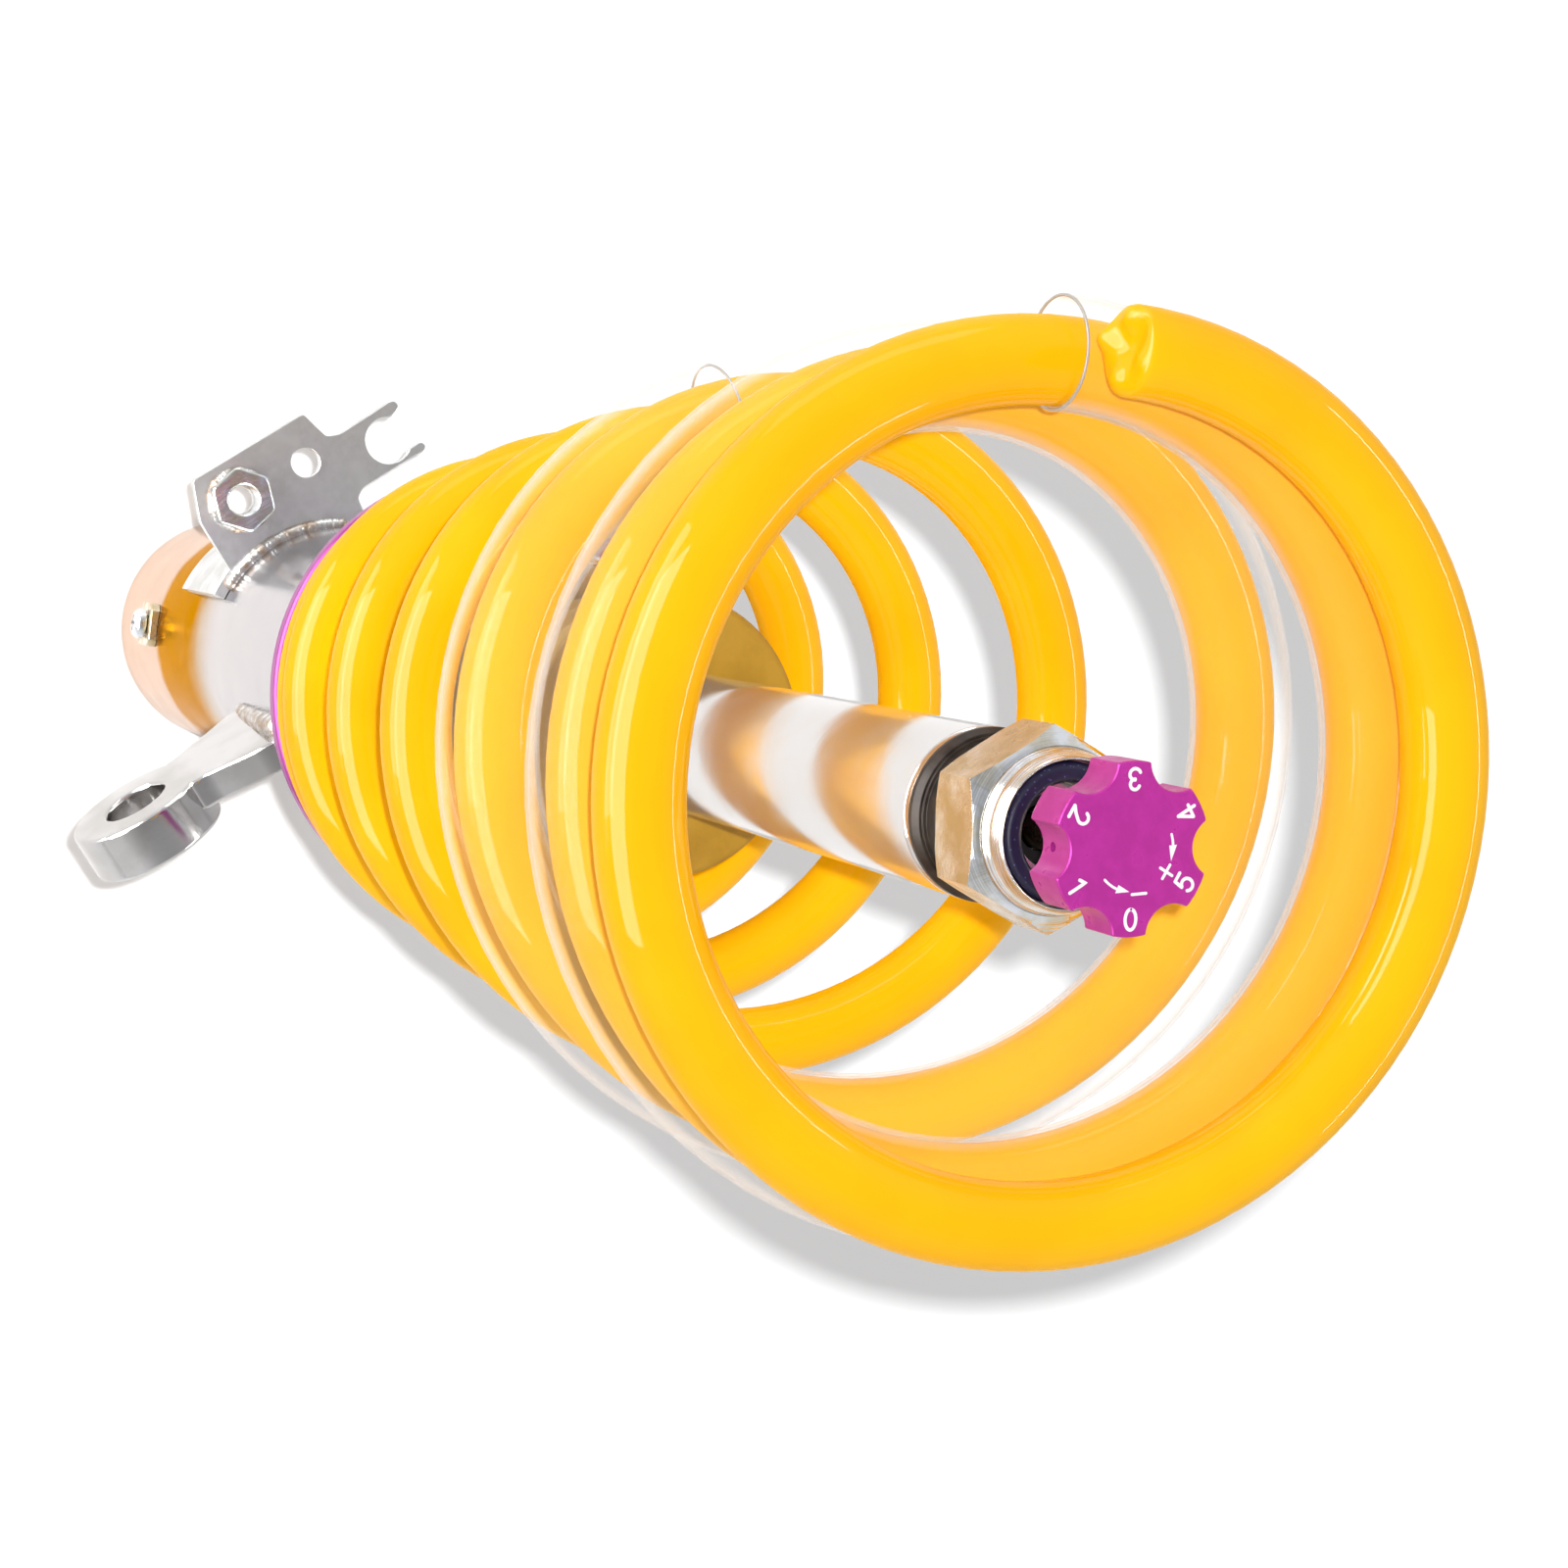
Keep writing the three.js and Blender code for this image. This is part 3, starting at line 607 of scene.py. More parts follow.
# %%
HIDDEN = {
    "base_valve": alloy,
    "base_valve_shims": zinc,
    "base_valve_bolt": zinc,
    "inner_cylinder": steel,
    "rod_guide": alloy,
    "guide_bush": bronze,
    "oil_seal": rubber,
    "piston": alloy,
    "piston_band": bronze,
    "rebound_shims": zinc,
    "bump_shims": zinc,
    "piston_nut": zinc,
    "rebound_bumper": rubber,
    "shaft_seal": rubber,
}
for node, look in HIDDEN.items():
    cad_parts[node].data.materials.clear()
    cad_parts[node].data.materials.append(look)
print("hidden parts with a finish:", len(HIDDEN))

# %% [markdown]
# The strut tube, its base and the jacket: drawn steel tube with a turned plug welded in below.
# They could be plain cylinders; turned profiles give the rolled and chamfered lips as well.

# %%
base = turned(
    "base_cap_skin",
    [(0, 0.02), (TUBE_RADIUS - 2, 0.02), (TUBE_RADIUS, 2), (TUBE_RADIUS, 6), (24.2, 6), (24.2, 12),
     (0, 12)],
    round_by=0.6,
)
dress(base, steel, "strut", "steel", "base_cap")
tube = turned(
    "strut_tube_skin",
    [(TUBE_BORE, 6.3), (TUBE_RADIUS, 6.3), (TUBE_RADIUS, TUBE_TOP), (TUBE_BORE, TUBE_TOP)],
)
dress(tube, steel, "strut", "steel", "strut_tube")
jacket = turned(
    "lower_jacket_skin",
    [(SLEEVE_BORE, 1), (JACKET_RADIUS - 1, 1), (JACKET_RADIUS, 2.2),
     (JACKET_RADIUS, JACKET_TOP - 2), (JACKET_RADIUS - 1.8, JACKET_TOP),
     (SLEEVE_BORE, JACKET_TOP)],
    segments=128,
    round_by=0.8,
)
# The jacket carries the painted reflection band.
dress(jacket, painted_band_steel, "strut", "steel", "lower_jacket")

# %% [markdown]
# The threaded sleeve: the perch and its ring screw up and down on it, so the thread is real.
# A bump map would do from afar; a turned helix keeps its notched outline from every side.

# %%
THREAD_PITCH = 1.5
THREAD_DEPTH = 0.75
ROWS_PER_TURN = 6
AROUND = 96


def threaded(name, bore, radius, low, high, pitch, depth):
    rows = int((high - low) / pitch * ROWS_PER_TURN)
    wave = [0.0, 0.15, 1.0, 1.0, 0.15, 0.0]
    points, faces = [], []
    for i in range(rows + 1):
        z = low + (high - low) * i / rows
        fade = min(1.0, (z - low) / 2.0, (high - z) / 2.0)
        for k in range(AROUND):
            phase = (i / ROWS_PER_TURN - k / AROUND) % 1.0 * ROWS_PER_TURN
            first = int(phase) % ROWS_PER_TURN
            share = phase - int(phase)
            level = wave[first] * (1 - share) + wave[(first + 1) % ROWS_PER_TURN] * share
            edge = 1.0 - min(1.0, max(0.0, fade))
            r = radius - depth * level * (1 - edge) - 0.8 * edge**2
            a = 2 * math.pi * k / AROUND
            points.append((r * math.cos(a), r * math.sin(a), z))
    inner = len(points)
    for z in (low, high):
        for k in range(AROUND):
            a = 2 * math.pi * k / AROUND
            points.append((bore * math.cos(a), bore * math.sin(a), z))
    for i in range(rows):
        for k in range(AROUND):
            n = (k + 1) % AROUND
            a, b = i * AROUND, (i + 1) * AROUND
            faces.append((a + k, a + n, b + n, b + k))
    top = rows * AROUND
    for k in range(AROUND):
        n = (k + 1) % AROUND
        faces.append((k, inner + k, inner + n, n))
        faces.append((top + k, top + n, inner + AROUND + n, inner + AROUND + k))
        faces.append((inner + k, inner + AROUND + k, inner + AROUND + n, inner + n))
    return mesh_piece(name, points, faces)


sleeve = threaded(
    "thread_sleeve_skin",
    SLEEVE_BORE,
    SLEEVE_RADIUS,
    JACKET_TOP + 0.3,
    SLEEVE_TOP,
    THREAD_PITCH,
    THREAD_DEPTH,
)
dress(sleeve, steel, "strut", "steel", "thread_sleeve", crease=40, even=False)

# %% [markdown]
# The gland nut closes the tube. Four pin holes take the spanner that screws it down.
# The wiper lip in its middle keeps dirt off the rod.

# %%
gland = turned(
    "gland_nut_skin",
    [(15, 301.3), (24.2, 301.3), (24.2, TUBE_TOP + 0.3), (TUBE_RADIUS, TUBE_TOP + 0.3),
     (TUBE_RADIUS, GLAND_TOP - 0.8), (TUBE_RADIUS - 0.8, GLAND_TOP), (15, GLAND_TOP)],
    round_by=0.25,
)
pins = []
for a in (45, 135, 225, 315):
    x, y = 21 * math.cos(math.radians(a)), 21 * math.sin(math.radians(a))
    pins.append(drill(2, 5, Matrix.Translation((x * MM, y * MM, (GLAND_TOP - 3) * MM))))
dress(cut(gland, pins), steel, "strut", "steel", "gland_nut")
wiper = turned(
    "rod_wiper_skin",
    [(11.3, 302), (14.7, 302), (14.7, GLAND_TOP - 0.5), (12.6, GLAND_TOP - 0.5),
     (11.3, GLAND_TOP + 0.2)],
    round_by=0.3,
)
dress(wiper, rubber, "strut", "rubber", "rod_wiper")

# %% [markdown]
# Adjuster ring and spring perch: two turned aluminium nuts with hook-spanner slots.
# The slots are milled after turning, so here too they are cut out of the turned blank.


# %%
def slots(low, high, shift):
    tools = []
    for i in range(8):
        box = [(HUB_RADIUS - 2.6, -2.5), (HUB_RADIUS + 4, -2.5), (HUB_RADIUS + 4, 2.5),
               (HUB_RADIUS - 2.6, 2.5)]
        tool = plate("slot", softened(box, 0.8), low, high, edge=0.02)
        tools.append(moved(tool, Matrix.Rotation(math.radians(45 * i + shift), 4, "Z")))
    return tools


LOCK_ANGLE = 201
ring = turned(
    "adjuster_ring_skin",
    [(RING_BORE, 224), (HUB_RADIUS - 0.8, 224), (HUB_RADIUS, 224.8), (HUB_RADIUS, 235.7),
     (HUB_RADIUS - 0.8, 236.5), (RING_BORE, 236.5)],
    round_by=0.3,
)
cut(ring, slots(223, 238, 0) + [drill(2.3, 12, radial(LOCK_ANGLE, 28.3, 230.25))])
dress(eased(ring, 0.15), alloy, "lock_ring", "alloy", "adjuster_ring")
lock = turned(
    "ring_lock_screw_skin",
    [(0, 0), (2, 0), (2, 5.8), (0.95, 5.8), (0.95, 4.2), (0, 4.2)],
    24,
    0.12,
)
moved(lock, radial(LOCK_ANGLE, RING_BORE + 0.3, 230.25))
dress(lock, black, "lock_ring", "black", "ring_lock_screw")

perch = turned(
    "spring_perch_skin",
    [(RING_BORE, 238), (HUB_RADIUS - 0.8, 238), (HUB_RADIUS, 238.8), (HUB_RADIUS, 250),
     (PERCH_RADIUS - 3, 251.2), (PERCH_RADIUS, 253), (PERCH_RADIUS, SEAT_Z - 0.6),
     (PERCH_RADIUS - 0.6, SEAT_Z), (COLLAR_RADIUS, SEAT_Z), (COLLAR_RADIUS, 262.5),
     (COLLAR_RADIUS - 1.5, 264), (RING_BORE, 264)],
    segments=128,
    round_by=0.35,
)
cut(perch, slots(237, 248, 22.5))
dress(eased(perch, 0.12), deep_violet, "perch", "purple", "spring_perch")

# %% [markdown]
# The coil spring: one bar of wire wound hot on a tapered mandrel, ground or bent flat at its ends.
# A line carries the winding rule and a node tree sweeps the round bar along it.
# That keeps the turns exact and leaves the wire thickness as one number that can be changed.

# %%
LOW_Z = SEAT_Z + 0.3 + WIRE / 2
HIGH_Z = SEAT_Z + SPRING_FREE - WIRE / 2
FIRST_PITCH = 13.9
LAST_PITCH = 11.0
OPEN_SHARE = [24.1, 49.1, 47.7, 44.2, 43.5]
RADIUS_SHARE = [1, 0.966, 0.845, 0.75, 0.56, 0.379, 0.155, 0]
SEAT_MEAN, TOP_MEAN = 38.8, 51.6
open_length = HIGH_Z - LOW_Z - FIRST_PITCH - LAST_PITCH
turn_z = [HIGH_Z, HIGH_Z - FIRST_PITCH]
for part in OPEN_SHARE:
    turn_z.append(turn_z[-1] - open_length * part / sum(OPEN_SHARE))
turn_z.append(LOW_Z)
turn_r = [SEAT_MEAN + (TOP_MEAN - SEAT_MEAN) * part for part in RADIUS_SHARE]


def smooth_at(values, t):
    """A smooth value at turn t of a list with one entry for each turn."""
    i = min(int(t), len(values) - 2)
    u = t - i

    def slope(k):
        if k in (0, len(values) - 1):
            return values[max(k, 1)] - values[max(k, 1) - 1]
        back, ahead = values[k] - values[k - 1], values[k + 1] - values[k]
        return 2 * back * ahead / (back + ahead) if back * ahead > 0 else 0.0

    start, end = values[i], values[i + 1]
    rise = (u**3 - 2 * u**2 + u) * slope(i) + (u**3 - u**2) * slope(i + 1)
    return (2 * u**3 - 3 * u**2 + 1) * start + (3 * u**2 - 2 * u**3) * end + rise


def wound(t):
    """The middle of the wire at turn t, counted down from the top end."""
    a = math.radians(SPRING_START - 360 * t)
    r, z = smooth_at(turn_r, t), smooth_at(turn_z, t)
    share = (z - LOW_Z) / (HIGH_Z - LOW_Z)
    return (LEAN[0] * share + r * math.cos(a), LEAN[1] * share + r * math.sin(a), z)


def sweep_tree(name, look):
    """Sweeps a ring along a line, its ends closed or left open."""
    tree = bpy.data.node_groups.new(name, "GeometryNodeTree")
    face = tree.interface
    face.new_socket("Line", in_out="INPUT", socket_type="NodeSocketGeometry")
    face.new_socket("Radius", in_out="INPUT", socket_type="NodeSocketFloat")
    face.new_socket("Sides", in_out="INPUT", socket_type="NodeSocketInt")
    face.new_socket("Close Ends", in_out="INPUT", socket_type="NodeSocketBool")
    face.new_socket("Piece", in_out="OUTPUT", socket_type="NodeSocketGeometry")
    start, end = tree.nodes.new("NodeGroupInput"), tree.nodes.new("NodeGroupOutput")
    line = put(tree, "GeometryNodeMeshToCurve", Mesh=start.outputs["Line"])
    taper = put(tree, "GeometryNodeInputNamedAttribute", {"data_type": "FLOAT"}, Name="taper")
    sized = put(
        tree, "GeometryNodeSetCurveRadius", Curve=line.outputs[0], Radius=taper.outputs[0]
    )
    section = put(
        tree,
        "GeometryNodeCurvePrimitiveCircle",
        Radius=start.outputs["Radius"],
        Resolution=start.outputs["Sides"],
    )
    swept = put(
        tree,
        "GeometryNodeCurveToMesh",
        Curve=sized.outputs[0],
        Profile_Curve=section.outputs[0],
        Fill_Caps=start.outputs["Close Ends"],
    )
    if "Scale" in swept.inputs:
        tree.links.new(taper.outputs[0], swept.inputs["Scale"])
    real = put(tree, "GeometryNodeRealizeInstances", Geometry=swept.outputs[0])
    made = put(tree, "GeometryNodeSetMaterial", Geometry=real.outputs[0], Material=look)
    tree.links.new(made.outputs[0], end.inputs["Piece"])
    return tree


def line_piece(name, points, tapers):
    mesh = bpy.data.meshes.new(name)
    edges = [(i, i + 1) for i in range(len(points) - 1)]
    mesh.from_pydata([[c * MM for c in p] for p in points], edges, [])
    layer = mesh.attributes.new("taper", "FLOAT", "POINT")
    layer.data.foreach_set("value", tapers)
    piece = bpy.data.objects.new(name, mesh)
    bpy.context.scene.collection.objects.link(piece)
    return piece


def grown(piece, tree, **values):
    """Runs a node tree on the piece and keeps what it makes as a plain mesh."""
    mod = piece.modifiers.new("grown", "NODES")
    mod.node_group = tree
    for item in tree.interface.items_tree:
        if item.item_type == "SOCKET" and item.in_out == "INPUT":
            key = item.name.replace(" ", "_")
            if key in values:
                mod[item.identifier] = values[key]
    return tidied(meshed(piece))


WIRE_START, LAST_TURN = 0.044, 7.0
STEPS_PER_TURN = 96
SMALL_TURN = 0.002
spots, tapers = [], []
count = int((LAST_TURN - WIRE_START) * STEPS_PER_TURN)
for i in range(count + 1):
    spots.append(WIRE_START + (LAST_TURN - WIRE_START) * i / count)
    tapers.append(1.0)
EDGE_TURN = 0.0006
EASE = ((-0.5, 0.05), (-0.42, 0.2), (-0.34, 0.35), (-0.25, 0.5), (-0.15, 0.66), (0.0, 0.80),
        (0.8, 0.90), (2.0, 0.965), (4.5, 1.0))
spots = [WIRE_START + EDGE_TURN * s for s, _ in EASE] + spots[1:]
tapers = [w for _, w in EASE] + tapers[1:]
spring = line_piece("coil_spring_skin", [wound(t) for t in spots], tapers)
spring = grown(
    spring, sweep_tree("round_bar", coat), Radius=WIRE / 2 * MM, Sides=48, Close_Ends=True
)
cut_end = Vector(wound(WIRE_START)) * MM
outward = Vector((cut_end.x, cut_end.y, 0)).normalized()
ahead = (cut_end - Vector(wound(WIRE_START + SMALL_TURN)) * MM).normalized()
# Each lump of the sheared face: along the strut, outward from it, height and spread.
LUMPS = ((0.4, 3.5, 0.9, 1.1), (-3.6, 1.4, 1.6, 1.1), (-1.2, -3.1, 0.9, 1.1),
         (0.9, 0.5, -0.9, 1.7), (3.0, -1.2, 0.5, 0.9), (2.4, 2.4, -0.5, 1.0))
LUMP_DEPTH = 2.6
LUMP_REACH = 6.5
for vertex in spring.data.vertices:
    off = (vertex.co - cut_end) / MM
    near = max(0.0, 1 - abs(off.dot(ahead)) / LUMP_DEPTH)
    if off.length < LUMP_REACH and near > 0:
        rise = sum(
            tall * math.exp(-((off.z - up) ** 2 + (off.dot(outward) - out) ** 2) / (2 * wide**2))
            for up, out, tall, wide in LUMPS
        )
        vertex.co += ahead * rise * near * MM
dress(spring, coat, "perch", "coat", "coil_spring", crease=40, even=False)
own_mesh(spring)

# %% [markdown]
# The clear hose is pushed over the second and third turns, so that the coils don't click together.
# It is the same sweep, wider and hollow. It hugs the inner side of the wire and stands off outside.
# A thin rim closes the look of each cut end, where the hose's wall catches the light.

# %%
HOSE_FROM, HOSE_TO = 1.04, 2.99
HOSE_RADIUS = 6.95
HOSE_WALL = 0.35
HOSE_SLACK = 0.95
HOSE_STEPS_PER_TURN = 72
RIM_RADIUS = 0.2
RIM_INSET = 0.18
RIM_STEPS = 60
hose_steps = int((HOSE_TO - HOSE_FROM) * HOSE_STEPS_PER_TURN)
hose_spots = [HOSE_FROM + (HOSE_TO - HOSE_FROM) * i / hose_steps for i in range(hose_steps + 1)]


def slack(t):
    """The hose is wider than the wire, so it hugs its inner side and stands off outside."""
    x, y, z = wound(t)
    reach = math.hypot(x, y)
    return (x + x / reach * HOSE_SLACK, y + y / reach * HOSE_SLACK, z)


hose_line = [slack(t) for t in hose_spots]
hose = line_piece("clear_sleeve_skin", hose_line, [1.0] * len(hose_line))
hose = grown(
    hose,
    sweep_tree("thin_hose", clear),
    Radius=HOSE_RADIUS * MM,
    Sides=40,
    Close_Ends=False,
)
changed(hose, "SOLIDIFY", thickness=HOSE_WALL * MM, offset=-1.0, use_rim=True)
dress(hose, clear, "perch", "clear", "clear_sleeve", crease=60, even=False)
hose.visible_shadow = False
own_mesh(hose)

rims = []
for end in (HOSE_FROM, HOSE_TO):
    middle = Vector(slack(end))
    ahead = (Vector(slack(end + SMALL_TURN)) - middle).normalized()
    over = ahead.orthogonal().normalized()
    side = ahead.cross(over)
    loop = []
    for k in range(RIM_STEPS + 1):
        a = 2 * math.pi * k / RIM_STEPS
        spoke = over * math.cos(a) + side * math.sin(a)
        loop.append(middle + spoke * (HOSE_RADIUS - RIM_INSET))
    line = line_piece("rim", [tuple(p) for p in loop], [1.0] * len(loop))
    tree = sweep_tree("hose_rim", lip)
    rims.append(grown(line, tree, Radius=RIM_RADIUS * MM, Sides=10, Close_Ends=False))
rim = joined("clear_sleeve_rims", rims)
dress(rim, lip, "perch", "clear", crease=60, even=False)
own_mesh(rim)

# %% [markdown]
# The bump stop: a moulded foam bellows that squashes last, when the strut bottoms out.
# Its ribs are part of the mould, so they are turned with wide, soft rounds.

# %%
stop = turned(
    "bump_stop_skin",
    [(11.4, 311.6), (19.6, 311.6), (21.2, 315.5), (21.2, 318.6), (17.2, 322.4), (21.2, 326.2),
     (21.2, 328.8), (17.2, 332.6), (21.2, 336.4), (21.2, 339), (17.4, 342.6), (23.6, 346.2),
     (23.6, 350.5), (22.8, 351.3), (11.4, 351.3)],
    round_by=1.6,
    steps=5,
)
dress(stop, foam, "stop", "foam", "bump_stop", crease=50)

# %% [markdown]
# The piston rod: ground and hard-chromed bar, with a thinner stud for the mount at its top.
# It is hollow, because the rebound rod runs down its middle.

# %%
rod = turned(
    "piston_rod_skin",
    [(3.0, 219), (5.5, 219), (5.5, 245.8), (ROD_RADIUS, 245.8), (ROD_RADIUS, ROD_TOP - 0.8),
     (ROD_RADIUS - 0.8, ROD_TOP), (STUD_RADIUS, ROD_TOP), (STUD_RADIUS, STUD_TOP - 1),
     (STUD_RADIUS - 1, STUD_TOP), (4.6, STUD_TOP), (4.6, STUD_TOP - 6), (3.0, STUD_TOP - 6)],
    segments=128,
    round_by=0.15,
)
dress(rod, chrome, "rod", "chrome", "piston_rod")

# %% [markdown]
# The stepped washer: blackened steel, turned in one clamping.
# Its steps are cut as small lips in the profile, for the fine light circles along them.

# %%
washer = turned(
    "top_washer_skin",
    [(STUD_HOLE, 466.9), (10.8, 466.9), (ROD_RADIUS, 467.2), (ROD_RADIUS, 468.0),
     (10.3, 468.9), (9.95, 468.9), (9.95, 469.2), (9.46, 469.2), (9.46, 471.5), (9.2, 471.5),
     (9.2, 471.9), (8.69, 471.9), (8.69, 474.5), (STUD_HOLE, 474.5)],
    segments=128,
    round_by=0.12,
)
dress(washer, black, "rod", "black", "top_washer")

# %% [markdown]
# The locknut: a hexagon with turned chamfers and a rolled collar that holds a nylon ring.
# A hexagon cut by a turned cone gives the curved chamfer lines that every real nut has.

# %%
corner = NUT_FLATS / math.sqrt(3)
NUT_TURN = 58
hexagon = [
    (corner * math.cos(math.radians(60 * k + NUT_TURN)),
     corner * math.sin(math.radians(60 * k + NUT_TURN)))
    for k in range(6)
]
nut = plate("rod_nut_skin", hexagon, NUT_LOW, HEX_TOP, [circle(0, 0, STUD_HOLE, 64)], edge=0.05)
blank = turned(
    "chamfer",
    [(0, NUT_LOW - 0.1), (corner - 1.5, NUT_LOW - 0.1), (corner + 0.1, NUT_LOW + 1.0),
     (corner + 0.1, HEX_TOP - 1.5), (corner - 2.5, HEX_TOP + 0.05), (0, HEX_TOP + 0.05)],
    segments=192,
    round_by=0,
)
eased(cut(nut, [blank], "INTERSECT"), 0.14, 20)
collar = turned(
    "collar",
    [(8.85, HEX_TOP - 1), (10.05, HEX_TOP - 1), (10.05, HEX_TOP + 0.25), (9.8, HEX_TOP + 0.45),
     (9.8, HEX_TOP + 0.6), (10.0, HEX_TOP + 0.8), (10.0, HEX_TOP + 1.15), (9.75, HEX_TOP + 1.35),
     (9.75, HEX_TOP + 1.5), (9.9, HEX_TOP + 1.7), (9.65, NUT_TOP - 1.2), (9.35, NUT_TOP - 0.35),
     (9.1, NUT_TOP - 0.02), (8.85, NUT_TOP - 0.2)],
    segments=128,
    round_by=0.12,
)
nut = joined("rod_nut_skin", [nut, collar])
dress(nut, zinc, "rod", "zinc", "rod_nut", crease=28)
nut.data.materials.append(bright)
for face in nut.data.polygons:
    on_flat = abs(face.normal.z) < 0.12 and face.center.z < HEX_TOP * MM
    face.material_index = 0 if on_flat else 1
insert = turned(
    "nylon_insert_skin",
    [(6.15, HEX_TOP + 0.6), (8.55, HEX_TOP + 0.6), (8.55, NUT_TOP - 0.9), (7.9, NUT_TOP - 0.3),
     (6.65, NUT_TOP - 0.3), (6.15, NUT_TOP - 0.8)],
    round_by=0.25,
)
dress(insert, nylon, "rod", "nylon", "nylon_insert")

# %% [markdown]
# The rebound knob: an anodised aluminium star, milled with six finger scallops.
# Its figures are engraved and filled with white paint, so each is a round-ended stroke.

# %%
LOBE = 12.5
VALLEY = 30 - LOBE
VALLEY_RADIUS = KNOB_RADIUS * 0.786
edge_x = KNOB_RADIUS * math.cos(math.radians(VALLEY))
edge_y = KNOB_RADIUS * math.sin(math.radians(VALLEY))
scoop_at = (KNOB_RADIUS**2 - VALLEY_RADIUS**2) / (2 * (edge_x - VALLEY_RADIUS))
scoop = scoop_at - VALLEY_RADIUS
swing = math.atan2(edge_y, scoop_at - edge_x)
star = []
for k in range(6):
    middle = math.radians(ZERO_ANGLE + 60 * k)
    for i in range(9):
        a = middle + math.radians(LOBE) * (i / 4 - 1)
        star.append((KNOB_RADIUS * math.cos(a), KNOB_RADIUS * math.sin(a)))
    v = middle + math.radians(30)
    for i in range(1, 14):
        s = swing * (i / 7 - 1)
        x, y = scoop_at - scoop * math.cos(s), scoop * math.sin(s)
        star.append((x * math.cos(v) - y * math.sin(v), x * math.sin(v) + y * math.cos(v)))
FACE = KNOB_TOP - 0.06
KNOB_EASE = 0.34
knob = plate("adjuster_knob_skin", softened(star, 0.3), KNOB_LOW, FACE, edge=KNOB_EASE)
GRUB = ZERO_ANGLE - 90
cut(knob, [
    drill(2.9, 5.7, Matrix.Translation((0, 0, (KNOB_LOW - 1) * MM)), 48),
    drill(0.6, 12, radial(GRUB, 2.1, KNOB_LOW + 2.6)),
])
dress(knob, violet, "knob", "purple", "adjuster_knob", crease=28)
# The rim chamfer faces take the painted highlight colour.
knob.data.materials.append(rim_painted_highlight)
for face in knob.data.polygons:
    rim_face = face.center.z > (FACE - 0.4) * MM and 0.15 < face.normal.z < 0.98
    face.material_index = 1 if rim_face else 0
print("bright rim faces", sum(face.material_index for face in knob.data.polygons))
grub = turned(
    "knob_grub_screw_skin",
    [(0, 0), (0.55, 0), (0.55, 3.6), (0.3, 3.6), (0.3, 2.6), (0, 2.6)],
    24,
    0.05,
)
moved(grub, radial(GRUB, 2.9, KNOB_LOW + 2.6))
dress(grub, black, "knob", "black", "knob_grub_screw")
shaft = turned("adjuster_shaft_skin", [(0, 224), (2.6, 224), (2.6, 500.8), (0, 500.8)], 48, 0.3)
dress(shaft, zinc, "knob", "zinc", "adjuster_shaft")


def stroke(points, width, level):
    """A flat line of paint with round ends, through points given in millimetres."""
    path = [Vector(p) for p in points]
    left, right = [], []
    for i, p in enumerate(path):
        before = path[max(i - 1, 0)]
        after = path[min(i + 1, len(path) - 1)]
        way = (after - before).normalized()
        side = Vector((-way.y, way.x)) * width / 2
        left.append(p + side)
        right.append(p - side)

    def cap(centre, rim):
        spoke = rim - centre
        return [centre + Matrix.Rotation(-math.pi * k / 8, 2) @ spoke for k in range(1, 8)]

    loop = left + cap(path[-1], left[-1]) + right[::-1] + cap(path[0], right[0])
    return plate("stroke", [(p.x, p.y) for p in loop][::-1], level - 0.1, level, edge=0.015)


def arc(cx, cy, rx, ry, start, stop, n=16):
    out = []
    for k in range(n + 1):
        a = math.radians(start + (stop - start) * k / n)
        out.append((cx + rx * math.cos(a), cy + ry * math.sin(a)))
    return out


FIGURES = {
    0: [arc(0, 0, 0.5, 0.85, 90, 445, 28)],
    1: [[(-0.36, 0.42), (-0.1, 0.6), (0.1, 0.85), (0.1, 0.4), (0.1, -0.3), (0.1, -0.85)]],
    2: [arc(0, 0.36, 0.48, 0.49, 165, -35, 14) + [(0.0, -0.4), (-0.5, -0.83)],
        [(-0.5, -0.85), (0, -0.85), (0.52, -0.85)]],
    3: [arc(0, 0.42, 0.43, 0.43, 160, -90, 14), arc(0, -0.4, 0.5, 0.46, 90, -160, 14)],
    4: [[(0.2, -0.85), (0.2, 0), (0.2, 0.85)], [(0.2, 0.85), (-0.2, 0.2), (-0.55, -0.36)],
        [(-0.55, -0.38), (0, -0.38), (0.55, -0.38)]],
    5: [[(0.45, 0.85), (0, 0.85), (-0.36, 0.85)], [(-0.36, 0.85), (-0.42, 0.4), (-0.46, 0.05)],
        arc(-0.02, -0.28, 0.5, 0.55, 140, -150, 16)],
}
DIGIT_AT = 7.95
DIGIT_SIZE = 1.38
STROKE_WIDTH = 0.4
SIGN_AT = 5.15
SIGN_HALF = 0.9
SIGN_WIDTH = 0.34
PAINT_SINK = 0.02
PAINT_STEP = 0.004
marks_made = []
for digit, strokes in FIGURES.items():
    spot = math.radians(ZERO_ANGLE - 60 * digit)
    turn = spot + math.pi / 2
    for i, line in enumerate(strokes):
        placed = []
        for x, y in line:
            x, y = x * DIGIT_SIZE, y * DIGIT_SIZE
            placed.append((
                DIGIT_AT * math.cos(spot) + x * math.cos(turn) - y * math.sin(turn),
                DIGIT_AT * math.sin(spot) + x * math.sin(turn) + y * math.cos(turn),
            ))
        marks_made.append(stroke(placed, STROKE_WIDTH, KNOB_TOP - PAINT_SINK - PAINT_STEP * i))


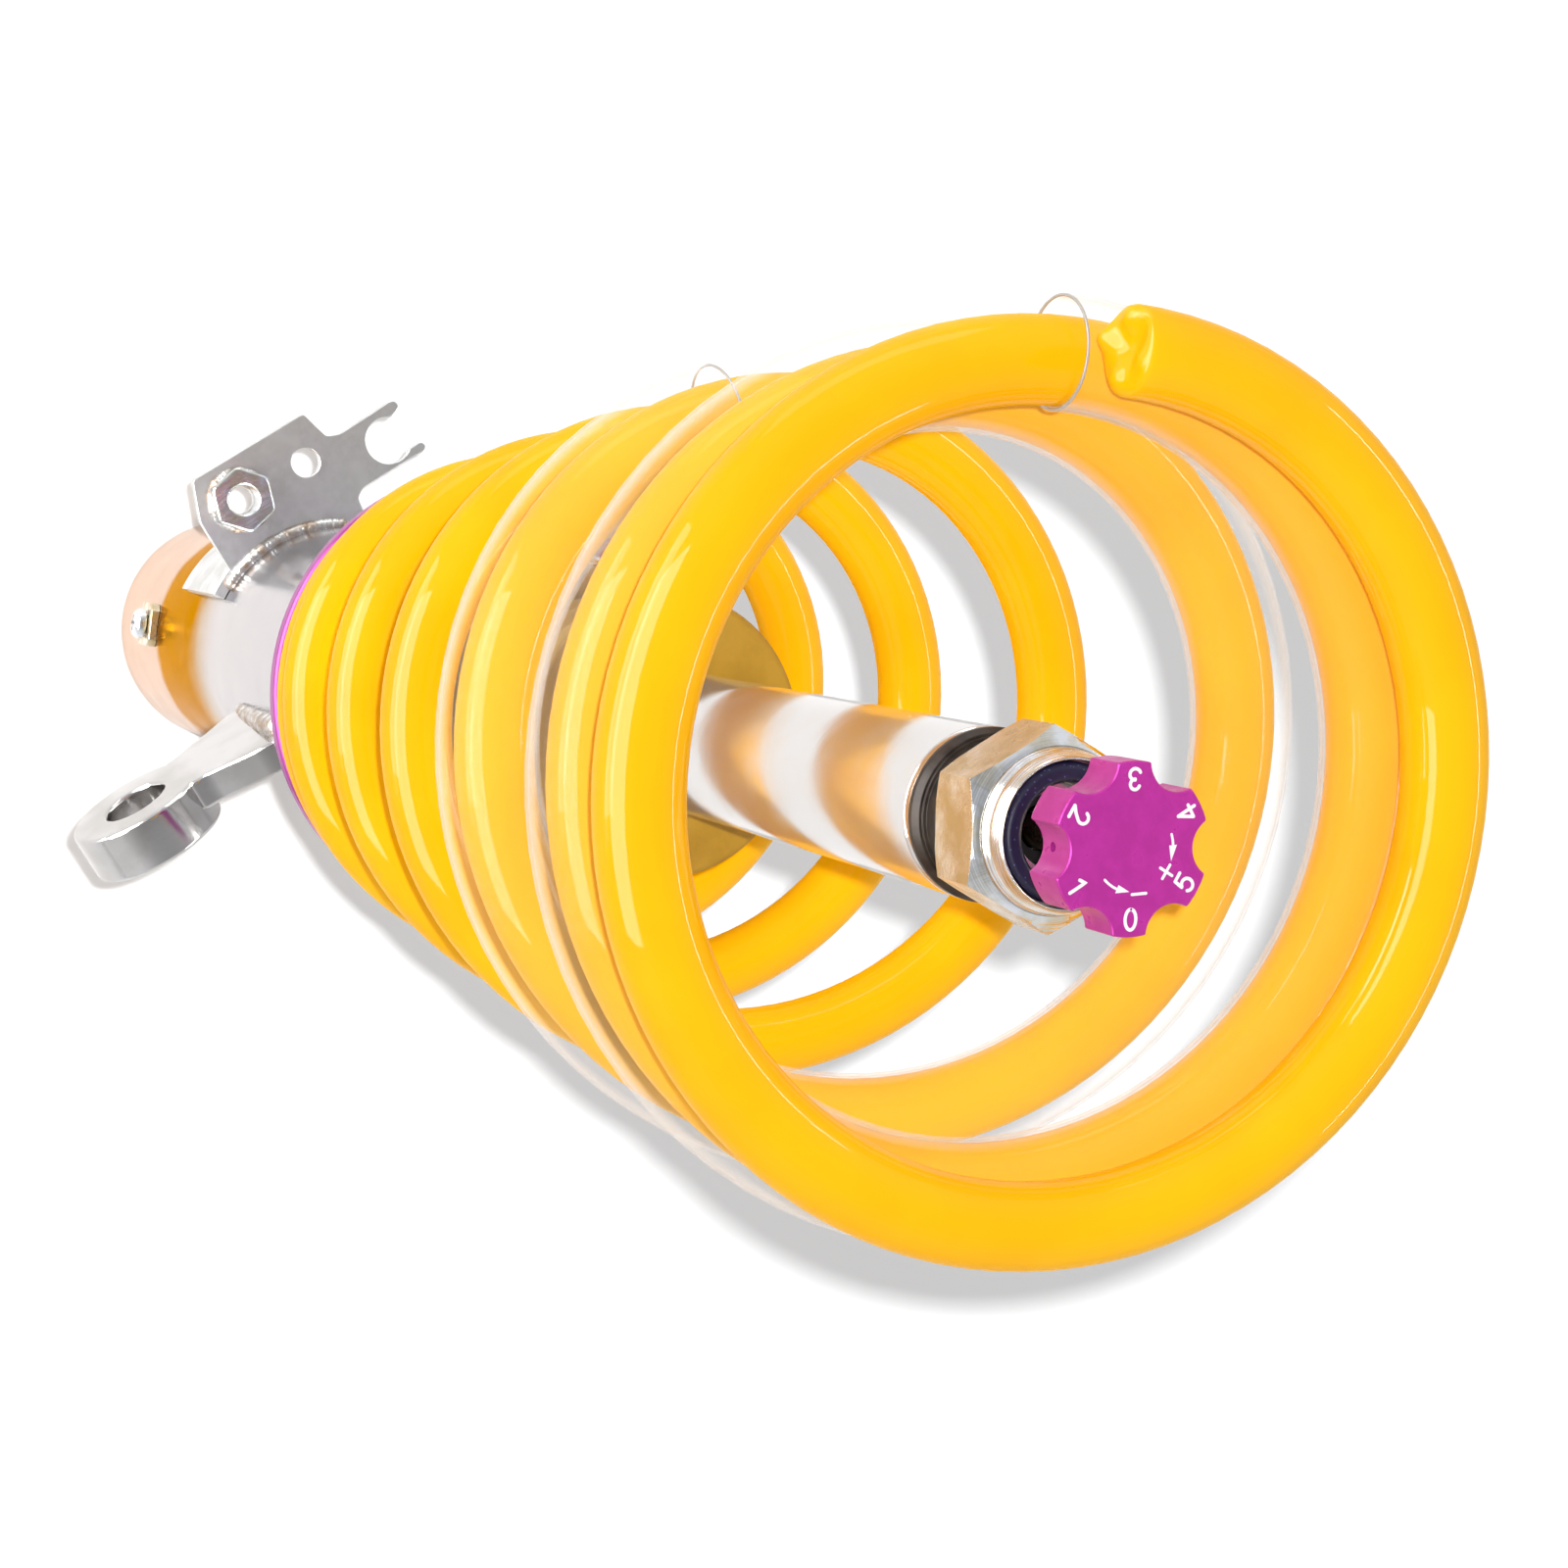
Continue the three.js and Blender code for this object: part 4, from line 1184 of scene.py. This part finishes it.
def arrow(radius, start, stop):
    """A curved arrow round the middle of the knob, its head at the stop angle."""
    line = arc(0, 0, radius, radius, start, stop)
    marks_made.append(stroke(line, 0.3, KNOB_TOP - PAINT_SINK))
    way = math.copysign(1, stop - start)
    tip = math.radians(stop + way * 14)
    heel = math.radians(stop - way * 6)
    head = [(radius * math.cos(tip), radius * math.sin(tip))]
    for r in (radius - 0.5, radius + 0.5):
        head.append((r * math.cos(heel), r * math.sin(heel)))
    marks_made.append(plate("head", head, KNOB_TOP - 0.12, KNOB_TOP - 0.024, edge=0.015))


arrow(4.8, ZERO_ANGLE - 46, ZERO_ANGLE - 17)
arrow(5.2, ZERO_ANGLE + 108, ZERO_ANGLE + 88)
for angle, crossed in ((ZERO_ANGLE + 11, False), (ZERO_ANGLE + 59, True)):
    spot = math.radians(angle)
    out = Vector((math.cos(spot), math.sin(spot)))
    level = math.radians(angle if crossed else angle - 8)
    side = Vector((-math.sin(level), math.cos(level)))
    middle = out * SIGN_AT
    for i, way in enumerate([side, out] if crossed else [side]):
        ends = [tuple(middle - way * SIGN_HALF), tuple(middle), tuple(middle + way * SIGN_HALF)]
        marks_made.append(stroke(ends, SIGN_WIDTH, KNOB_TOP - PAINT_SINK - PAINT_STEP * i))
figures = joined("knob_figures", marks_made)
dress(figures, paint, "knob", "purple")

# %% [markdown]
# The drop-link ear: a forged eye on a flat neck, welded upright against the jacket.
# The eye and neck are pressed plates here, joined, then rounded like a forging.

# %%
EAR_REACH = JACKET_RADIUS + 31.7
EAR_EYE = 6.9
EAR_HALF = 5.5


def jacket_plug(low, high, gap):
    """A plug as wide as the jacket and a gap, to clear what is welded to it."""
    reach = JACKET_RADIUS + gap
    return turned("plug", [(0, low), (reach, low), (reach, high), (0, high)], 160, 0)


EAR_Z = 173.0
EAR_TILT = Matrix.Rotation(math.radians(7), 4, "X")
EAR_PLACE = Matrix.Translation((0, 0, EAR_Z * MM)) @ EAR_TILT @ Matrix.Rotation(math.pi / 2, 4, "X")
neck_end = -EAR_REACH + 10
neck_line = [
    (-26.3, -17), (-34.3, -17), (neck_end + 4, -11), (neck_end, -11), (neck_end, 11),
    (neck_end + 4, 11), (-34.3, 17), (-26.3, 17),
]
eye = circle(-EAR_REACH, 0, EAR_EYE, 64)
ear = plate("drop_link_ear_skin", circle(-EAR_REACH, 0, 15, 96), -EAR_HALF, EAR_HALF, [eye],
            edge=0.9)
neck = plate("neck", softened(neck_line, 3, steps=6), -EAR_HALF, 1.5, edge=0.9)
bore = plate("bore", eye, -7, 7, edge=0.05)
cut(ear, [neck], "UNION")
cut(ear, [bore])
moved(ear, EAR_PLACE)
cut(ear, [jacket_plug(-20, 300, 0.05)])
dress(ear, steel, "strut", "steel", "drop_link_ear", crease=30)

# %% [markdown]
# The hose bracket: laser-cut sheet, folded so that its flange hugs the tube.
# The flat part has a weld nut, a hole and a spring clip for the brake hose.

# %%
PLATE_TOP = 129.0
PLATE_THICK = 2.5
edge = JACKET_RADIUS - 3.3
clip_x, clip_y, clip_r = 36.5, edge + 10.3, 5.5
clip_arc = [
    (clip_x + clip_r * math.cos(math.radians(308 - 8 * k)),
     clip_y + clip_r * math.sin(math.radians(308 - 8 * k)))
    for k in range(33)
]
outline = [
    (-8, edge + 25.7), (-11.5, edge + 17), (-11.5, edge - 1), (-8, edge - 1), (16, edge - 4.5),
    (21.5, edge - 8), (22.7, edge - 1.7), (23.2, edge + 2.5), (25.5, edge + 4),
    (39.5, edge + 4), (42.8, edge + 3.7), (43.8, edge + 4.7), (43.1, edge + 6.1),
    *clip_arc,
    (41.8, edge + 15.2), (43, edge + 16), (42.6, edge + 17.5), (41.2, edge + 17.9),
    (36.5, edge + 17.6), (27, edge + 17.4), (24.2, edge + 18.6), (22.2, edge + 25.8),
]
nut_x, nut_y = -1.0, edge + 16.5
sheet = plate(
    "hose_bracket_skin",
    softened(outline, 0.8),
    PLATE_TOP - PLATE_THICK,
    PLATE_TOP,
    [circle(nut_x, nut_y, 3.3), circle(16.8, edge + 15.9, 3.4)],
    edge=0.22,
)
hug = []
for a in range(42, 123, 2):
    hug.append((JACKET_RADIUS * math.cos(math.radians(a)), JACKET_RADIUS * math.sin(math.radians(a))))
for a in range(122, 41, -2):
    r = JACKET_RADIUS + 0.3 + PLATE_THICK
    hug.append((r * math.cos(math.radians(a)), r * math.sin(math.radians(a))))
flange = plate("flange", hug, PLATE_TOP - 40, PLATE_TOP - 0.3, edge=0.15)
corner_cut = plate("corner", [(-20, -30), (20, -30), (20, 30), (-20, 30)], -20, 20, edge=0.01)
tilt = Matrix.Rotation(math.radians(-35), 4, "Y")
moved(corner_cut, Matrix.Translation((24 * MM, 30 * MM, (PLATE_TOP - 52) * MM)) @ tilt)
cut(flange, [corner_cut])
cut(sheet, [flange], "UNION")
cut(sheet, [jacket_plug(60, 160, 0.15)])
dress(sheet, satin, "strut", "zinc", "hose_bracket", crease=30)
WELD_NUT_FLATS = 13.5
reach = WELD_NUT_FLATS / math.sqrt(3)
flats = [
    (nut_x + reach * math.cos(math.radians(60 * k + 12)),
     nut_y + reach * math.sin(math.radians(60 * k + 12)))
    for k in range(6)
]
weld_nut = plate("bracket_weld_nut_skin", softened(flats, 1.2), PLATE_TOP + 0.05, PLATE_TOP + 5.5,
                 [circle(nut_x, nut_y, 3.4)], edge=0.7)
dress(weld_nut, bright, "strut", "zinc", "bracket_weld_nut", crease=30)

# %% [markdown]
# The cable tab: a small pressed plate with a screw, for the sensor cable.
# The screw head has a cross recess, so it reads as a screw from close by.

# %%
TAB = radial(141, JACKET_RADIUS + 0.3, 50)
tab_line = [(-7, -4), (-4, -5.5), (7, -5.5), (9, -3), (9, 3), (7, 5.5), (-4, 5.5), (-7, 4)]
tab = plate("cable_tab_skin", softened(tab_line, 1), -1.4, 1.6, [circle(0, 0, 2.5, 24)], edge=0.3)
moved(tab, TAB)
cut(tab, [jacket_plug(20, 80, 0.1)])
dress(tab, zinc, "strut", "zinc", "cable_tab")
screw = turned("cable_tab_screw_skin",
               [(0, 0.3), (2.2, 0.3), (2.2, 1.9), (3.9, 1.9), (3.9, 3.6), (2.9, 4.8), (0, 4.8)], 48, 0.4)
cross = [(-0.4, -2), (0.4, -2), (0.4, -0.4), (2, -0.4), (2, 0.4), (0.4, 0.4), (0.4, 2), (-0.4, 2),
         (-0.4, 0.4), (-2, 0.4), (-2, -0.4), (-0.4, -0.4)]
cut(screw, [plate("cross", cross, 3.4, 6, edge=0.05)])
moved(screw, TAB)
dress(screw, bright, "strut", "zinc", "cable_tab_screw")

# %% [markdown]
# The weld beads: a welder lays overlapping puddles along each seam.
# A node tree drops one round drop at each step of a line, turned along the line and each sized a little
# off.


# %%
def bead_tree(look):
    tree = bpy.data.node_groups.new("weld_puddles", "GeometryNodeTree")
    face = tree.interface
    face.new_socket("Line", in_out="INPUT", socket_type="NodeSocketGeometry")
    face.new_socket("Step", in_out="INPUT", socket_type="NodeSocketFloat")
    face.new_socket("Width", in_out="INPUT", socket_type="NodeSocketFloat")
    face.new_socket("Piece", in_out="OUTPUT", socket_type="NodeSocketGeometry")
    start, end = tree.nodes.new("NodeGroupInput"), tree.nodes.new("NodeGroupOutput")
    line = put(tree, "GeometryNodeMeshToCurve", Mesh=start.outputs["Line"])
    spots = put(
        tree,
        "GeometryNodeCurveToPoints",
        {"mode": "LENGTH"},
        Curve=line.outputs[0],
        Length=start.outputs["Step"],
    )
    drop = put(tree, "GeometryNodeMeshIcoSphere", Radius=start.outputs["Width"], Subdivisions=2)
    size = put(tree, "FunctionNodeRandomValue", {"data_type": "FLOAT"}, Seed=4)
    size.inputs[2].default_value = 0.95
    size.inputs[3].default_value = 1.05
    laid = put(
        tree,
        "GeometryNodeInstanceOnPoints",
        Points=spots.outputs["Points"],
        Instance=drop.outputs["Mesh"],
        Rotation=spots.outputs["Rotation"],
        Scale=size.outputs[1],
    )
    real = put(tree, "GeometryNodeRealizeInstances", Geometry=laid.outputs[0])
    made = put(tree, "GeometryNodeSetMaterial", Geometry=real.outputs[0], Material=look)
    tree.links.new(made.outputs[0], end.inputs["Piece"])
    return tree


def on_jacket(angle, z, lift=0.2):
    a, r = math.radians(angle), JACKET_RADIUS + lift
    return (r * math.cos(a), r * math.sin(a), z)


def seam(points, name):
    """A line through the points, filled in to a step of about 1 mm."""
    out = []
    for a, b in zip(points, points[1:]):
        a, b = Vector(a), Vector(b)
        n = max(2, int((b - a).length))
        out += [tuple(a.lerp(b, k / n)) for k in range(n)]
    return line_piece(name, out + [tuple(points[-1])], [1.0] * (len(out) + 1))


puddles = bead_tree(bead)
ear_side = []
for height, side in [(-17, 0), (17, 0), (17, 7), (-17, 7), (-17, 0)]:
    y = side - 1.5
    a = 180 - math.degrees(math.asin(y / JACKET_RADIUS))
    ear_side.append(on_jacket(a, EAR_Z + height))
ear_bead = grown(seam(ear_side, "ear_weld"), puddles, Step=0.8 * MM, Width=2.6 * MM)
flange_top = [on_jacket(a, PLATE_TOP + 0.2, 0.6) for a in range(114, 56, -4)]
flange_bead = grown(seam(flange_top, "flange_weld"), puddles, Step=0.4 * MM, Width=1.8 * MM)
nut_rim = [(nut_x + 6.6 * math.cos(a / 10), nut_y + 6.6 * math.sin(a / 10), PLATE_TOP + 0.4)
           for a in range(0, 63, 5)]
nut_bead = grown(seam(nut_rim, "nut_weld"), puddles, Step=0.5 * MM, Width=1.2 * MM)
beads = joined("weld_beads", [ear_bead, flange_bead, nut_bead])
dress(beads, bead, "strut", "steel", crease=60, even=False)

# %% [markdown]
# The view: one camera along the strut from above its top end, set by the solved viewing angle.
# The floor is plain and pale. A small key light beside the camera gives the short, hard shadows,
# a bright tent fills them, and a few soft boxes draw the long streaks on the metal.
# Some boxes light nothing and only show as reflections, so that they don't wash out the coils.

# %%
RIGHT = Vector((0.794032, -0.471179, 0.384063))
UP = Vector((0.543031, 0.83376, -0.099811))
BACK = Vector((-0.273187, 0.287811, 0.917896))
EYE = Vector((-0.112521, 0.114592, 0.774357))
camera_data = bpy.data.cameras.new("view_camera")
camera_data.sensor_width = 36
camera_data.lens = 63.909
camera_data.clip_start = 0.01
camera_data.clip_end = 20
camera = bpy.data.objects.new("view_camera", camera_data)
bpy.context.scene.collection.objects.link(camera)
turn = Matrix((RIGHT, UP, BACK)).transposed().to_4x4()
camera.matrix_world = Matrix.Translation(EYE) @ turn
bpy.context.scene.camera = camera

pale, tree, surface = finish("pale_floor", (0.90, 0.90, 0.90), 0.0, 0.9)
surface.inputs["Specular IOR Level"].default_value = 0.0
worn(tree, surface, 3.0, 0.85, 0.95)
floor_mesh = bpy.data.meshes.new("floor")
floor_mesh.from_pydata([(-6, -6, -0.001), (6, -6, -0.001), (6, 6, -0.001), (-6, 6, -0.001)], [],
                       [(0, 1, 2, 3)])
floor = bpy.data.objects.new("floor", floor_mesh)
bpy.context.scene.collection.objects.link(floor)
floor_mesh.materials.append(pale)

world = bpy.data.worlds.new("tent")
bpy.context.scene.world = world
world.use_nodes = True
sky_tree = world.node_tree
sky = next(n for n in sky_tree.nodes if n.type == "BACKGROUND")
sky.inputs["Strength"].default_value = 1.0
way = put(sky_tree, "ShaderNodeTexCoord").outputs["Generated"]
height = put(sky_tree, "ShaderNodeSeparateXYZ", Vector=way).outputs[2]
open_top = put(
    sky_tree,
    "ShaderNodeMapRange",
    {"interpolation_type": "SMOOTHSTEP"},
    Value=height,
    From_Min=0.45,
    From_Max=0.95,
)
tent = put(sky_tree, "ShaderNodeMix", {"data_type": "RGBA"}, at0=open_top.outputs[0])
tent.inputs[6].default_value = (0.90, 0.90, 0.90, 1)
tent.inputs[7].default_value = (0.38, 0.38, 0.385, 1)
sky_tree.links.new(tent.outputs[2], sky.inputs["Color"])
bpy.context.scene.view_settings.view_transform = "Standard"
MIDDLE = Vector((0, 0, 0.3))


def soft_box(name, place, width, height, power, glints=False):
    """A rectangle of light facing the strut; with glints it shows only in reflections."""
    data = bpy.data.lights.new(name, "AREA")
    data.shape = "RECTANGLE"
    data.size, data.size_y = width, height
    data.energy = power
    lamp = bpy.data.objects.new(name, data)
    bpy.context.scene.collection.objects.link(lamp)
    out = (place - MIDDLE).normalized()
    across = UP.cross(out).normalized()
    facing = Matrix((across, out.cross(across), out)).transposed().to_4x4()
    lamp.matrix_world = Matrix.Translation(place) @ facing
    lamp.visible_diffuse = not glints
    print(name, [round(c, 2) for c in place], power, "W")
    return lamp


KEY_POWER = 27.0
KEY_RADIUS = 0.003
KEY_RIGHT, KEY_UP = 0.008, 0.007
key_data = bpy.data.lights.new("key_light", "POINT")
key_data.energy = KEY_POWER
key_data.shadow_soft_size = KEY_RADIUS
key_data.use_nodes = True
key_tree = key_data.node_tree
even_light = put(key_tree, "ShaderNodeLightFalloff", Strength=1.0)
lamp_surface = next(n for n in key_tree.nodes if n.type == "EMISSION")
key_tree.links.new(even_light.outputs["Constant"], lamp_surface.inputs["Strength"])
key = bpy.data.objects.new("key_light", key_data)
bpy.context.scene.collection.objects.link(key)
key.location = EYE + RIGHT * KEY_RIGHT + UP * KEY_UP
key.visible_glossy = False
soft_box("left_box", MIDDLE - RIGHT * 1.2 + UP * 0.35 + BACK * 0.1, 0.7, 1.3, 7)
soft_box("left_strip", MIDDLE - RIGHT * 0.95 + UP * 0.1 + BACK * 0.95, 0.9, 1.7, 62, glints=True)
soft_box("left_glow", MIDDLE - RIGHT * 1.2 + UP * 0.45 + BACK * 0.35, 0.9, 1.3, 30, glints=True)
soft_box("right_strip", MIDDLE + RIGHT * 1.25 - UP * 0.1 + BACK * 0.15, 0.06, 1.4, 6, glints=True)
soft_box("top_box", MIDDLE + UP * 1.3 + BACK * 0.2, 1.0, 0.4, 3)
